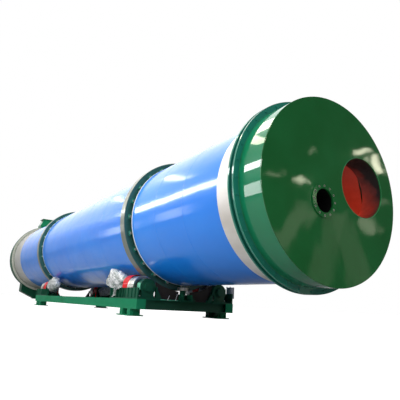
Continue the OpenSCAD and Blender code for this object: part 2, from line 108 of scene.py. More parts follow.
class NodeTree:
    """A tree of shader nodes."""

    def __init__(self, tree: bpy.types.NodeTree) -> None:
        """Takes up a tree.

        Args:
            tree: the tree of a material or of the world.
        """
        self.nodes = tree.nodes
        self.links = tree.links

    def node(self, kind: str, output: str | int, inputs: dict[str | int, object], **settings: str) -> Socket:
        """Adds a node.

        Args:
            kind: the node's type.
            output: the output that is wanted.
            inputs: for each input that isn't left alone, an output to link to it, a colour or a value.
            settings: the node's own settings.

        Returns:
            The output.
        """
        node = self.nodes.new(kind)
        for key, value in settings.items():
            setattr(node, key, value)
        for key, value in inputs.items():
            socket = node.inputs[key]
            if isinstance(value, Socket):
                self.links.new(value, socket)
            elif socket.type == "RGBA":
                socket.default_value = (*value, 1.0)
            else:
                socket.default_value = value
        return node.outputs[output]

    def ramp(self, factor: Socket, *stops: tuple[float, Colour]) -> Socket:
        """A ramp through two or more colours.

        Args:
            factor: what the ramp follows.
            stops: rising values of the factor, each with its colour.

        Returns:
            The colour.
        """
        node = self.nodes.new("ShaderNodeValToRGB")
        elements = node.color_ramp.elements
        while len(elements) < len(stops):
            elements.new(0.5)
        for element, (position, colour) in zip(elements, stops):
            element.position = position
            element.color = (*colour, 1.0)
        self.links.new(factor, node.inputs["Fac"])
        return node.outputs["Color"]

    def toward(self, place: Socket, way: Point) -> Socket:
        """How far a place or direction lies one way."""
        inputs = {0: place, 1: Vector(way).normalized()}
        return self.node("ShaderNodeVectorMath", "Value", inputs, operation="DOT_PRODUCT")


class Shader(NodeTree):
    """A material's nodes, with the steps that the finishes share."""

    def __init__(self, name: str) -> None:
        """Starts a material with one principled surface.

        Args:
            name: the material's name.
        """
        self.material = bpy.data.materials.new(name)
        self.material.use_nodes = True
        super().__init__(self.material.node_tree)
        self.surface = self.nodes["Principled BSDF"]
        self.place = self.node("ShaderNodeTexCoord", "Object", {})

    def set(self, **values: float | Colour) -> None:
        """Sets sockets of the surface that hold one value all over.

        Args:
            values: socket names with underscores for spaces, and their values.
        """
        for key, value in values.items():
            socket = self.surface.inputs[key.replace("_", " ")]
            socket.default_value = (*value, 1.0) if isinstance(value, tuple) else value

    def feed(self, key: str, output: Socket) -> None:
        """Links an output to one of the surface's sockets."""
        self.links.new(output, self.surface.inputs[key])

    def blend(self, factor: Socket, low: float, high: float, start: Colour, end: Colour) -> Socket:
        """A colour that goes from one to another between two values of a factor."""
        return self.ramp(factor, (low, start), (high, end))

    def tone(self, factor: Socket, low: float, high: float, start: Colour, end: Colour) -> None:
        """Colours the surface by such a blend."""
        self.feed("Base Color", self.blend(factor, low, high, start, end))

    def rub(self, scale: float, detail: float, smooth: float, rough: float) -> None:
        """Varies the surface's roughness in patches.

        Args:
            scale: patches to a metre.
            detail: octaves of finer patches.
            smooth: lowest roughness.
            rough: highest roughness.
        """
        self.feed("Roughness", self.grey(self.noise(scale, detail), 0.3, 0.7, smooth, rough))

    def mapped(self, scale: Colour = (1.0, 1.0, 1.0), shift: Colour = (0.0, 0.0, 0.0)) -> Socket:
        """Object coordinates, scaled along each axis and then shifted."""
        inputs = {"Vector": self.place, "Scale": scale, "Location": shift}
        return self.node("ShaderNodeMapping", "Vector", inputs)

    def noise(self, scale: float, detail: float, stretch: Colour = (1.0, 1.0, 1.0)) -> Socket:
        """Noise on object coordinates.

        Args:
            scale: features to a metre.
            detail: octaves of finer noise.
            stretch: scale along each axis.

        Returns:
            The factor, from 0 to 1.
        """
        inputs = {"Vector": self.mapped(stretch), "Scale": scale, "Detail": detail}
        return self.node("ShaderNodeTexNoise", "Fac", inputs)

    def cells(self, scale: float) -> Socket:
        """Distance to the edge of Voronoi cells, which gives creases."""
        inputs = {"Vector": self.mapped(), "Scale": scale}
        return self.node("ShaderNodeTexVoronoi", "Distance", inputs, feature="DISTANCE_TO_EDGE")

    def math(self, operation: str, a: Socket, b: float | Socket = 0.0) -> Socket:
        """One arithmetic step between an output and a value or another output."""
        return self.node("ShaderNodeMath", "Value", {0: a, 1: b}, operation=operation)

    def grey(self, factor: Socket, low: float, high: float, start: float, end: float) -> Socket:
        """A ramp between two values, clamped at both."""
        inputs = {"Value": factor, "From Min": low, "From Max": high, "To Min": start, "To Max": end}
        return self.node("ShaderNodeMapRange", "Result", inputs)

    def mix(self, factor: Socket, a: Socket | Colour, b: Socket | Colour) -> Socket:
        """Mixes two colours by a factor."""
        return self.node("ShaderNodeMix", 2, {"Factor": factor, 6: a, 7: b}, data_type="RGBA")

    def along(self) -> Socket:
        """Distance along the drum from its middle, towards the inlet."""
        return self.node("ShaderNodeSeparateXYZ", "X", {"Vector": self.place})

    def radius(self, height: float) -> Socket:
        """Distance from the drum's axis, which lies at that height."""
        across = self.mapped((0.0, 1.0, 1.0), (0.0, 0.0, -height))
        return self.node("ShaderNodeVectorMath", "Value", {0: across}, operation="LENGTH")

    def relief(self, *layers: tuple[Socket, float]) -> None:
        """Stacks bump layers on the surface and its coat.

        Args:
            layers: each a height output and its depth in metres.
        """
        below = {}
        for height, depth in layers:
            inputs = {"Height": height, "Strength": 1.0, "Distance": depth, **below}
            below = {"Normal": self.node("ShaderNodeBump", "Normal", inputs)}
        self.feed("Normal", below["Normal"])
        self.feed("Coat Normal", below["Normal"])


@dataclass(frozen=True)
class GlossPaint:
    """Brushed or sprayed gloss paint on rolled steel.

    Attributes:
        name: the material's name.
        colour: the paint's colour.
        worn: colour of dusty or thin places.
        waviness: depth of the slow waves in the sheet under the paint.
        roughness: roughness of the paint under its gloss.
        coat: weight of the gloss.
        sheen: strength of the broad highlight under the gloss.
        ripple: depth of short waves, as around welds.
        blur: roughness of the gloss.
    """

    name: str
    colour: Colour
    worn: Colour
    waviness: float = 4 * MM
    roughness: float = 0.4
    coat: float = 0.8
    sheen: float = 0.15
    ripple: float = 0.0
    blur: float = 0.03

    def material(self) -> Material:
        """Builds the material."""
        shader = Shader(self.name)
        shader.tone(shader.noise(1.7, 4.0), 0.35, 0.8, self.colour, self.worn)
        shader.rub(6.0, 3.0, self.roughness - 0.05, self.roughness + 0.08)
        shader.set(Coat_Weight=self.coat, Coat_Roughness=self.blur, Specular_IOR_Level=self.sheen)
        slow = (shader.noise(0.9, 1.0), self.waviness)
        short = (shader.noise(2.6, 1.0), self.ripple)
        shader.relief(slow, short, (shader.noise(260.0, 2.0), 0.04 * MM))
        return shader.material


@dataclass(frozen=True)
class Cladding:
    """Blue coil-coated sheet: even and glossy, with slow dents along the drum."""

    name: str = "blue_cladding_sheet"
    colour: Colour = (0.004, 0.19, 0.78)
    faded: Colour = (0.008, 0.24, 0.85)

    def material(self) -> Material:
        """Builds the material."""
        shader = Shader(self.name)
        shader.tone(shader.noise(0.8, 3.0, (0.5, 1.0, 1.0)), 0.35, 0.75, self.colour, self.faded)
        shader.rub(3.0, 4.0, 0.36, 0.48)
        shader.set(Coat_Weight=0.9, Coat_Roughness=0.13, Specular_IOR_Level=0.15)
        dents = shader.noise(1.6, 1.0, (0.7, 1.0, 1.0))
        shader.relief((dents, 5 * MM), (shader.noise(420.0, 1.0), 0.03 * MM))
        return shader.material


@dataclass(frozen=True)
class BareBand:
    """Off-white primed sheet with faint stains, darker and greyer at the outlet's end."""

    name: str = "bare_band_sheet"

    def material(self) -> Material:
        """Builds the material."""
        shader = Shader(self.name)
        stains = shader.noise(2.2, 6.0, (0.5, 1.0, 1.0))
        paler_tone = shader.blend(stains, 0.4, 0.75, (0.74, 0.71, 0.68), (0.55, 0.50, 0.44))
        greyer_tone = shader.blend(stains, 0.3, 0.75, (0.46, 0.46, 0.46), (0.36, 0.35, 0.31))
        # At the outlet's end the band is darker and greyer.
        outlet_end = shader.math("LESS_THAN", shader.along(), 0.0)
        shader.feed("Base Color", shader.mix(outlet_end, paler_tone, greyer_tone))
        shader.rub(9.0, 3.0, 0.36, 0.52)
        shader.set(Metallic=0.15, Coat_Weight=0.25, Coat_Roughness=0.2)
        shader.relief((shader.noise(1.8, 1.0), 5 * MM), (shader.noise(300.0, 2.0), 0.04 * MM))
        return shader.material


@dataclass(frozen=True)
class ShadedPrimer:
    """Red primer with painted shade: it goes black towards one side, where the inside of a sleeve or drum
    lies in shade.

    Attributes:
        name: the material's name.
        middle: the point where it is half black.
        towards: the way that it gets blacker.
        reach: distance over which it changes.
    """

    name: str
    middle: Vector
    towards: Vector
    reach: float

    def material(self) -> Material:
        """Builds the material."""
        shader = Shader(self.name)
        further = shader.toward(shader.mapped(shift=tuple(-self.middle)), self.towards)
        patchy = shader.grey(shader.noise(5.0, 4.0), 0.2, 0.8, -0.3 * self.reach, 0.3 * self.reach)
        depth = shader.math("ADD", further, patchy)
        painted_shade = shader.grey(depth, -self.reach / 2, self.reach / 2, 0.0, 1.0)
        red = shader.blend(shader.noise(7.0, 5.0), 0.3, 0.8, (0.34, 0.018, 0.005), (0.22, 0.014, 0.005))
        # The near-black colour is painted shade deep in the sleeve and among the flights.
        shader.feed("Base Color", shader.mix(painted_shade, red, (0.010, 0.007, 0.007)))
        shader.rub(14.0, 3.0, 0.5, 0.7)
        shader.set(Specular_IOR_Level=0.3)
        shader.relief((shader.noise(2.5, 2.0), 3 * MM), (shader.noise(180.0, 3.0), 0.12 * MM))
        return shader.material


@dataclass(frozen=True)
class TwoTone:
    """A finish that changes at a radius from the drum's axis.

    Attributes:
        name: the material's name.
        height: height of the drum's axis.
        edge: radius where the finish changes.
        inner: colour nearer the axis.
        outer: colour further out.
        outer_metal: how metallic the outer finish is.
        bright_end: distance from the drum's middle beyond which the inner finish is bright; deeper
        inside it is painted shade, near black. Nothing is darkened where this is 0.
    """

    name: str
    height: float
    edge: float
    inner: Colour
    outer: Colour
    outer_metal: float = 0.0
    bright_end: float = 0.0

    def material(self) -> Material:
        """Builds the material."""
        shader = Shader(self.name)
        beyond = shader.math("GREATER_THAN", shader.radius(self.height), self.edge)
        streaks = shader.noise(1.0, 4.0, (180.0, 3.0, 3.0))
        dull = tuple(0.62 * channel for channel in self.outer)
        outer = shader.blend(streaks, 0.3, 0.75, self.outer, dull)
        worn = tuple(1.3 * channel + 0.01 for channel in self.inner)
        inner = shader.blend(shader.noise(5.0, 4.0), 0.35, 0.8, self.inner, worn)
        # Deeper inside the drum the inner finish goes near black: painted shade.
        if self.bright_end:
            depth = shader.math("ABSOLUTE", shader.along())
            lit = shader.grey(depth, self.bright_end - 0.1, self.bright_end, 0.0, 1.0)
            inner = shader.mix(lit, (0.008, 0.006, 0.006), inner)
        shader.feed("Base Color", shader.mix(beyond, inner, outer))
        shader.feed("Metallic", shader.math("MULTIPLY", beyond, self.outer_metal))
        shader.feed("Roughness", shader.grey(beyond, 0.0, 1.0, 0.34, 0.40))
        shader.set(Coat_Weight=0.4, Coat_Roughness=0.12)
        shader.relief((streaks, 0.25 * MM), (shader.noise(240.0, 2.0), 0.05 * MM))
        return shader.material


@dataclass(frozen=True)
class TurnedSteel:
    """Turned steel with fine marks around the part and a thin film of oil."""

    name: str = "turned_steel"
    colour: Colour = (0.62, 0.60, 0.57)

    def material(self) -> Material:
        """Builds the material."""
        shader = Shader(self.name)
        marks = shader.noise(1.0, 3.0, (520.0, 4.0, 4.0))
        shader.tone(shader.noise(9.0, 4.0), 0.35, 0.8, self.colour, (0.36, 0.33, 0.29))
        shader.feed("Roughness", shader.grey(marks, 0.3, 0.7, 0.22, 0.40))
        shader.set(Metallic=0.9)
        shader.relief((marks, 0.08 * MM))
        return shader.material


@dataclass(frozen=True)
class PlatedSteel:
    """Zinc-plated steel for bolts and small fittings."""

    name: str = "plated_steel"

    def material(self) -> Material:
        """Builds the material."""
        shader = Shader(self.name)
        shader.tone(shader.noise(60.0, 3.0), 0.3, 0.8, (0.66, 0.67, 0.64), (0.42, 0.41, 0.36))
        shader.rub(90.0, 2.0, 0.28, 0.5)
        shader.set(Metallic=0.85)
        shader.relief((shader.noise(700.0, 2.0), 0.03 * MM))
        return shader.material


@dataclass(frozen=True)
class Film:
    """Crumpled plastic film, milky, with the machine's colour behind its thin places."""

    name: str = "crumpled_film"

    def material(self) -> Material:
        """Builds the material."""
        shader = Shader(self.name)
        milky = shader.blend(shader.noise(8.0, 6.0), 0.40, 0.62, (0.46, 0.47, 0.48), (0.24, 0.28, 0.26))
        creases = shader.cells(15.0)
        folded = shader.grey(creases, 0.0, 0.07, 0.9, 0.0)
        shader.feed("Base Color", shader.mix(folded, milky, (0.72, 0.73, 0.73)))
        shader.rub(30.0, 3.0, 0.14, 0.34)
        shader.set(Coat_Weight=0.7, Coat_Roughness=0.05)
        shader.relief((creases, 22 * MM), (shader.noise(45.0, 4.0), 5 * MM))
        return shader.material


DARK = (0.006, 0.062, 0.032)
PAINTS = {
    "beam": GlossPaint("beam_green", (0.008, 0.165, 0.070), (0.014, 0.20, 0.10), 3 * MM, 0.6, 0.15, 0.02),
    "hood": GlossPaint(
        "hood_green", (0.005, 0.17, 0.07), (0.007, 0.20, 0.095), 5 * MM, 0.34, 1.0, 0.1, 1 * MM
    ),
    "disc": GlossPaint(
        "end_plate_green", (0.003, 0.080, 0.016), (0.005, 0.100, 0.024), 5 * MM, 0.34, 1.0, 0.1, 3 * MM, 0.045
    ),
    "back": GlossPaint(
        "back_plate_green", (0.004, 0.100, 0.035), (0.006, 0.120, 0.045), 4 * MM, 0.6, 0.06, 0.02
    ),
    "flange": GlossPaint("flange_green", (0.010, 0.15, 0.11), (0.016, 0.19, 0.14), 3 * MM, 0.36, 0.9),
    # Dark green paint; on the skid's end and cross beams and on the outlet hood's shell and hopper it also
    # stands for painted shade.
    "dark": GlossPaint("dark_green_paint_and_shade", DARK, (0.012, 0.085, 0.05), 3 * MM, 0.5, 0.35, 0.05),
    # Pale green; on the flange's lips and on the plates on the bearings' flanks it is painted highlight.
    "cast": GlossPaint("edge_green", (0.09, 0.42, 0.26), (0.14, 0.50, 0.33), 3 * MM, 0.42, 0.35),
    "red": GlossPaint("guard_red", (0.62, 0.006, 0.012), (0.62, 0.02, 0.02), 3 * MM, 0.5, 0.3, 0.05),
    "rim": GlossPaint("rim_green", (0.02, 0.16, 0.06), (0.04, 0.22, 0.10), 2 * MM, 0.3, 0.9, 0.2),
    "grey": GlossPaint("box_grey", (0.36, 0.37, 0.40), (0.30, 0.31, 0.33), 2 * MM, 0.45, 0.3),
    "white": GlossPaint("flashing_white", (0.80, 0.82, 0.84), (0.70, 0.71, 0.72), 3 * MM, 0.4, 0.5),
    # Near black: painted shade on the plates under the near tyre.
    "shade_black": GlossPaint("painted_shade_black", (0.030, 0.024, 0.022), (0.045, 0.04, 0.035), 3 * MM, 0.6, 0.1),
    "felt": GlossPaint("felt_seal", (0.40, 0.41, 0.36), (0.30, 0.32, 0.27), 4 * MM, 0.8, 0.0),
    # Black: painted shade inside the ports.
    "shade_tube": GlossPaint("port_painted_shade", (0.004, 0.004, 0.004), (0.006, 0.006, 0.006), 2 * MM, 0.9, 0.0, 0.0),
}


@dataclass
class Finishes:
    """Every finish, built once.

    Attributes:
        axis: height of the drum's axis.
        tread: radius where a tyre's paint ends and its bare tread begins.
        bore: radius of the drum's inner wall, where its primer ends.
        inlet: middle of the gas inlet.
        bright_end: distance from the drum's middle beyond which its primer is lit; deeper inside it is
            painted shade.
        made: the materials by name.
    """

    axis: float
    tread: float
    bore: float
    inlet: Vector
    bright_end: float = 7.0
    made: dict[str, Material] = field(default_factory=dict)

    def __post_init__(self) -> None:
        """Builds the materials."""
        # The sleeve's and the flights' painted shade is half black at these points.
        shade_middle = self.inlet + Vector((-0.13, 0.0, 0.13))
        behind = Vector((self.inlet.x - 0.45, 0.0, self.axis))
        tyre_paint, tyre_steel, primer = (0.016, 0.088, 0.082), (0.22, 0.24, 0.20), (0.38, 0.018, 0.004)
        others = {
            "blue": Cladding(),
            "band": BareBand(),
            "sleeve": ShadedPrimer("sleeve_primer_painted_shade", shade_middle, Vector((0.93, 0.0, 0.37)), 0.34),
            "flights": ShadedPrimer("flight_primer_painted_shade", behind, Vector((-1.0, 0.0, 0.0)), 0.2),
            "steel": TurnedSteel(),
            "plated": PlatedSteel(),
            "film": Film(),
            "tyre": TwoTone("tyre_steel_and_paint", self.axis, self.tread, tyre_paint, tyre_steel, 0.5),
            "shell": TwoTone(
                "shell_primer_paint_and_shade", self.axis, self.bore, primer, DARK, bright_end=self.bright_end
            ),
        }
        self.made = {key: finish.material() for key, finish in (PAINTS | others).items()}

    def coat(self, piece: Piece, finish: str) -> None:
        """Gives a piece one finish in place of any it has."""
        piece.data.materials.clear()
        piece.data.materials.append(self.made[finish])


# ---- Making ----


class Workshop:
    """The making steps that every sub-assembly shares."""

    @staticmethod
    def only(*chosen: Piece) -> None:
        """Selects these pieces and nothing else, and makes the first one active."""
        bpy.ops.object.select_all(action="DESELECT")
        for piece in chosen:
            piece.select_set(True)
        bpy.context.view_layer.objects.active = chosen[0]

    @staticmethod
    def settle(name: str) -> Piece:
        """Names the active piece and puts its place into its mesh."""
        piece = bpy.context.active_object
        piece.name = name
        piece.data.name = name
        Workshop.only(piece)
        bpy.ops.object.transform_apply(location=True, rotation=True, scale=True)
        return piece

    @staticmethod
    def add(operator: Callable[..., set[str]], name: str, **values: object) -> Piece:
        """Adds a primitive and settles it.

        Args:
            operator: the operator that adds it.
            name: the piece's name.
            values: its size and place.

        Returns:
            The piece.
        """
        bpy.ops.object.select_all(action="DESELECT")
        operator(**values)
        return Workshop.settle(name)

    @staticmethod
    def copy(piece: Piece, name: str) -> Piece:
        """Copies a piece with its own mesh and no parent."""
        Workshop.only(piece)
        bpy.ops.object.duplicate(linked=False)
        bpy.context.active_object.parent = None
        return Workshop.settle(name)

    @staticmethod
    @contextmanager
    def editing(piece: Piece, kind: str = "FACE") -> Iterator[None]:
        """Edit mode on one piece, with nothing selected at the start.

        Args:
            piece: the piece to edit.
            kind: VERT, EDGE or FACE.
        """
        Workshop.only(piece)
        bpy.ops.object.mode_set(mode="EDIT")
        bpy.ops.mesh.select_mode(type=kind)
        bpy.ops.mesh.select_all(action="DESELECT")
        yield
        bpy.ops.object.mode_set(mode="OBJECT")

    @staticmethod
    def pick(piece: Piece, test: Callable[[Vector, Vector], bool]) -> None:
        """Selects faces in edit mode.

        Args:
            piece: the piece in edit mode.
            test: says from a face's middle and normal whether it is taken.
        """
        mesh = bmesh.from_edit_mesh(piece.data)
        for face in mesh.faces:
            face.select_set(test(face.calc_center_median(), face.normal))
        bmesh.update_edit_mesh(piece.data)

    @staticmethod
    def crown(piece: Piece, test: Callable[[Vector, Vector], bool], width: float, rise: float) -> None:
        """Insets the faces that pass a test, and raises them.

        Args:
            piece: the piece.
            test: says from a face's middle and normal whether it is taken.
            width: how far in the raised part begins.
            rise: how far it stands up.
        """
        with Workshop.editing(piece):
            Workshop.pick(piece, test)
            bpy.ops.mesh.inset(thickness=width, depth=rise)

    @staticmethod
    def modify(piece: Piece, kind: str, **values: object) -> None:
        """Adds a modifier, sets it and applies it."""
        Workshop.only(piece)
        modifier = piece.modifiers.new(kind.lower(), kind)
        for key, value in values.items():
            setattr(modifier, key, value)
        bpy.ops.object.modifier_apply(modifier=modifier.name)

    @staticmethod
    def outward(piece: Piece) -> None:
        """Merges doubles and turns the faces outwards."""
        with Workshop.editing(piece):
            bpy.ops.mesh.select_all(action="SELECT")
            bpy.ops.mesh.remove_doubles(threshold=0.01 * MM)
            bpy.ops.mesh.normals_make_consistent(inside=False)

    @staticmethod
    def smooth(piece: Piece, degrees: float = 35.0) -> None:
        """Shades smooth, with edges sharper than the angle left crisp."""
        Workshop.only(piece)
        bpy.ops.object.shade_smooth_by_angle(angle=math.radians(degrees))

    @staticmethod
    def join(name: str, pieces: Sequence[Piece]) -> Piece:
        """Joins pieces into one."""
        Workshop.only(*pieces)
        if len(pieces) > 1:
            bpy.ops.object.join()
        piece = bpy.context.active_object
        piece.name = name
        piece.data.name = name
        return piece

    @staticmethod
    def around(piece: Piece, count: int, y: float, z: float) -> None:
        """Repeats a piece around a line along X.

        Args:
            piece: the piece at its first place.
            count: how many there are in the full circle.
            y: the line's place across.
            z: the line's height.
        """
        turn = Matrix.Rotation(2 * math.pi / count, 4, "X")
        centre = Matrix.Translation((0.0, y, z))
        bpy.ops.object.empty_add(location=(0.0, 0.0, 0.0))
        pivot = bpy.context.active_object
        pivot.matrix_world = centre @ turn @ centre.inverted()
        bpy.context.view_layer.update()
        Workshop.modify(
            piece, "ARRAY", count=count, use_relative_offset=False, use_object_offset=True,
            offset_object=pivot,
        )
        bpy.data.objects.remove(pivot)

    @staticmethod
    def row(piece: Piece, count: int, pitch: float) -> None:
        """Repeats a piece in a straight row along X."""
        Workshop.modify(
            piece, "ARRAY", count=count, use_relative_offset=False, use_constant_offset=True,
            constant_offset_displace=(pitch, 0.0, 0.0),
        )

    @staticmethod
    def plate(name: str, one: Point, other: Point, edge: float = 2 * MM) -> Piece:
        """A plate between two opposite corners, with its edges eased.

        Args:
            name: the plate's name.
            one: a corner.
            other: the corner opposite to it.
            edge: width of the eased edge.

        Returns:
            The plate.
        """
        low, high = Vector(map(min, one, other)), Vector(map(max, one, other))
        piece = Workshop.add(
            bpy.ops.mesh.primitive_cube_add, name, size=1.0, location=(low + high) / 2, scale=high - low
        )
        with Workshop.editing(piece, "EDGE"):
            bpy.ops.mesh.select_all(action="SELECT")
            bpy.ops.mesh.bevel(offset=edge, segments=2, affect="EDGES")
        Workshop.smooth(piece)
        return piece

    @staticmethod
    def drop_corner(piece: Piece, test: Callable[[Vector], bool], drop: float) -> None:
        """Lowers the upper points that pass a test, which turns a plate into a gusset.

        Args:
            piece: the plate.
            test: says from its place whether a point is lowered.
            drop: how far it is lowered.
        """
        middle = sum((vertex.co.z for vertex in piece.data.vertices)) / len(piece.data.vertices)
        with Workshop.editing(piece, "VERT"):
            mesh = bmesh.from_edit_mesh(piece.data)
            for vertex in mesh.verts:
                vertex.select_set(vertex.co.z > middle and test(vertex.co))
            bmesh.update_edit_mesh(piece.data)
            bpy.ops.transform.translate(value=(0.0, 0.0, -drop))

    @staticmethod
    def hoop(name: str, x0: float, x1: float, outer: float, wall: float, y: float, z: float,
             sides: int = 192, edge: float = 1 * MM) -> Piece:
        """A ring around a line along X.

        Args:
            name: the ring's name.
            x0: one end.
            x1: its other end.
            outer: its outer radius.
            wall: its thickness, inwards.
            y: the line's place across.
            z: the line's height.
            sides: faces around it.
            edge: width of its eased edges.

        Returns:
            The ring.
        """
        piece = Workshop.add(
            bpy.ops.mesh.primitive_cylinder_add, name, vertices=sides, radius=outer, depth=abs(x1 - x0),
            end_fill_type="NOTHING", location=((x0 + x1) / 2, y, z), rotation=ALONG_X,
        )
        Workshop.modify(piece, "SOLIDIFY", thickness=wall, offset=-1.0, use_even_offset=True)
        Workshop.modify(
            piece, "BEVEL", width=edge, segments=2, limit_method="ANGLE", angle_limit=math.radians(50)
        )
        Workshop.smooth(piece)
        return piece

    @staticmethod
    def ring_bead(name: str, x: float, radius: float, z: float, leg: float) -> Piece:
        """A weld bead around the drum's axis, where a round edge meets a plate."""
        return Workshop.hoop(name, x - leg / 2, x + leg / 2, radius + leg / 2, leg, 0.0, z, edge=leg * 0.3)

    @staticmethod
    def rod(name: str, sides: int, radius: float, start: Vector, run: Vector) -> Piece:
        """A straight bar from a point.

        Args:
            name: the bar's name.
            sides: faces around it.
            radius: its radius.
            start: the middle of its first end.
            run: the way from there to its other end.

        Returns:
            The bar.
        """
        return Workshop.add(
            bpy.ops.mesh.primitive_cylinder_add, name, vertices=sides, radius=radius, depth=run.length,
            location=start + run / 2, rotation=run.to_track_quat("Z", "Y").to_euler(),
        )

    @staticmethod
    def bolt(name: str, at: Point, along: Point, size: float) -> Piece:
        """A hexagon head on a washer.

        Args:
            name: the bolt's name.
            at: middle of the face that it sits on.
            along: the way that the head points.
            size: the thread's diameter.

        Returns:
            The bolt.
        """
        at, along = Vector(at), Vector(along)
        head = 0.65 * size
        washer = 0.16 * size
        disc = Workshop.rod(f"{name}_washer", 16, 1.0 * size, at, along * washer)
        hexagon = Workshop.rod(name, 6, 0.87 * size, at + along * washer, along * head)
        Workshop.crown(hexagon, lambda centre, normal: normal.dot(along) > 0.9, 0.12 * size, 0.06 * size)
        return Workshop.join(name, [hexagon, disc])

    @staticmethod
    def bead(name: str, start: Point, end: Point, leg: float) -> Piece:
        """A straight weld bead or thin bar between two points, domed at both ends."""
        run = Vector(end) - Vector(start)
        way = run.normalized()
        piece = Workshop.rod(name, 8, leg, Vector(start), run)
        Workshop.crown(piece, lambda centre, normal: abs(normal.dot(way)) > 0.9, 0.4 * leg, 0.5 * leg)
        Workshop.smooth(piece, 60.0)
        return piece


def axis_and_radius(node: str) -> tuple[float, float]:
    """Height of a round node's axis, and its radius."""
    low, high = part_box(node)
    return (low.z + high.z) / 2, (high.z - low.z) / 2


@dataclass
class SubAssembly:
    """What every sub-assembly has.

    Attributes:
        finishes: the finishes to use.
        nodes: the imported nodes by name.
    """

    finishes: Finishes
    nodes: dict[str, Piece]

    def finish_nodes(self, finish: str, *names: str) -> None:
        """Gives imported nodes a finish."""
        for name in names:
            self.finishes.coat(self.nodes[name], finish)
            LOG.info("finished %s as %s", name, finish)

    def fit(self, piece: Piece, finish: str, slot: Slot, body: Body = Body.SKID) -> Piece:
        """Finishes a new piece and fixes it to its body.

        Args:
            piece: the new piece.
            finish: its finish.
            slot: its slot in the record; not used.
            body: the body that it rides on.

        Returns:
            The piece.
        """
        self.finishes.coat(piece, finish)
        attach(piece, body.value)
        LOG.info("made %s with %d faces", piece.name, len(piece.data.polygons))
        return piece

    def fit_group(self, name: str, pieces: Sequence[Piece], finish: str, slot: Slot) -> Piece:
        """Joins new pieces of the skid into one and fits it."""
        return self.fit(Workshop.join(name, pieces), finish, slot)

    def flange_bolts(self, name: str, x: float, circle: float, axis: float, count: int, finish: str,
                     slot: Slot) -> None:
        """A circle of bolts around the drum's axis, which face the inlet's end.

        Args:
            name: the bolts' name.
            x: place of the face that they sit on.
            circle: the circle's radius.
            axis: height of the drum's axis.
            count: how many there are.
            finish: their finish.
            slot: their slot in the record.
        """
        bolt = Workshop.bolt(name, (x, 0.0, axis + circle), (1.0, 0.0, 0.0), 16 * MM)
        Workshop.around(bolt, count, 0.0, axis)
        self.fit(bolt, finish, slot)


# ---- Drum ----


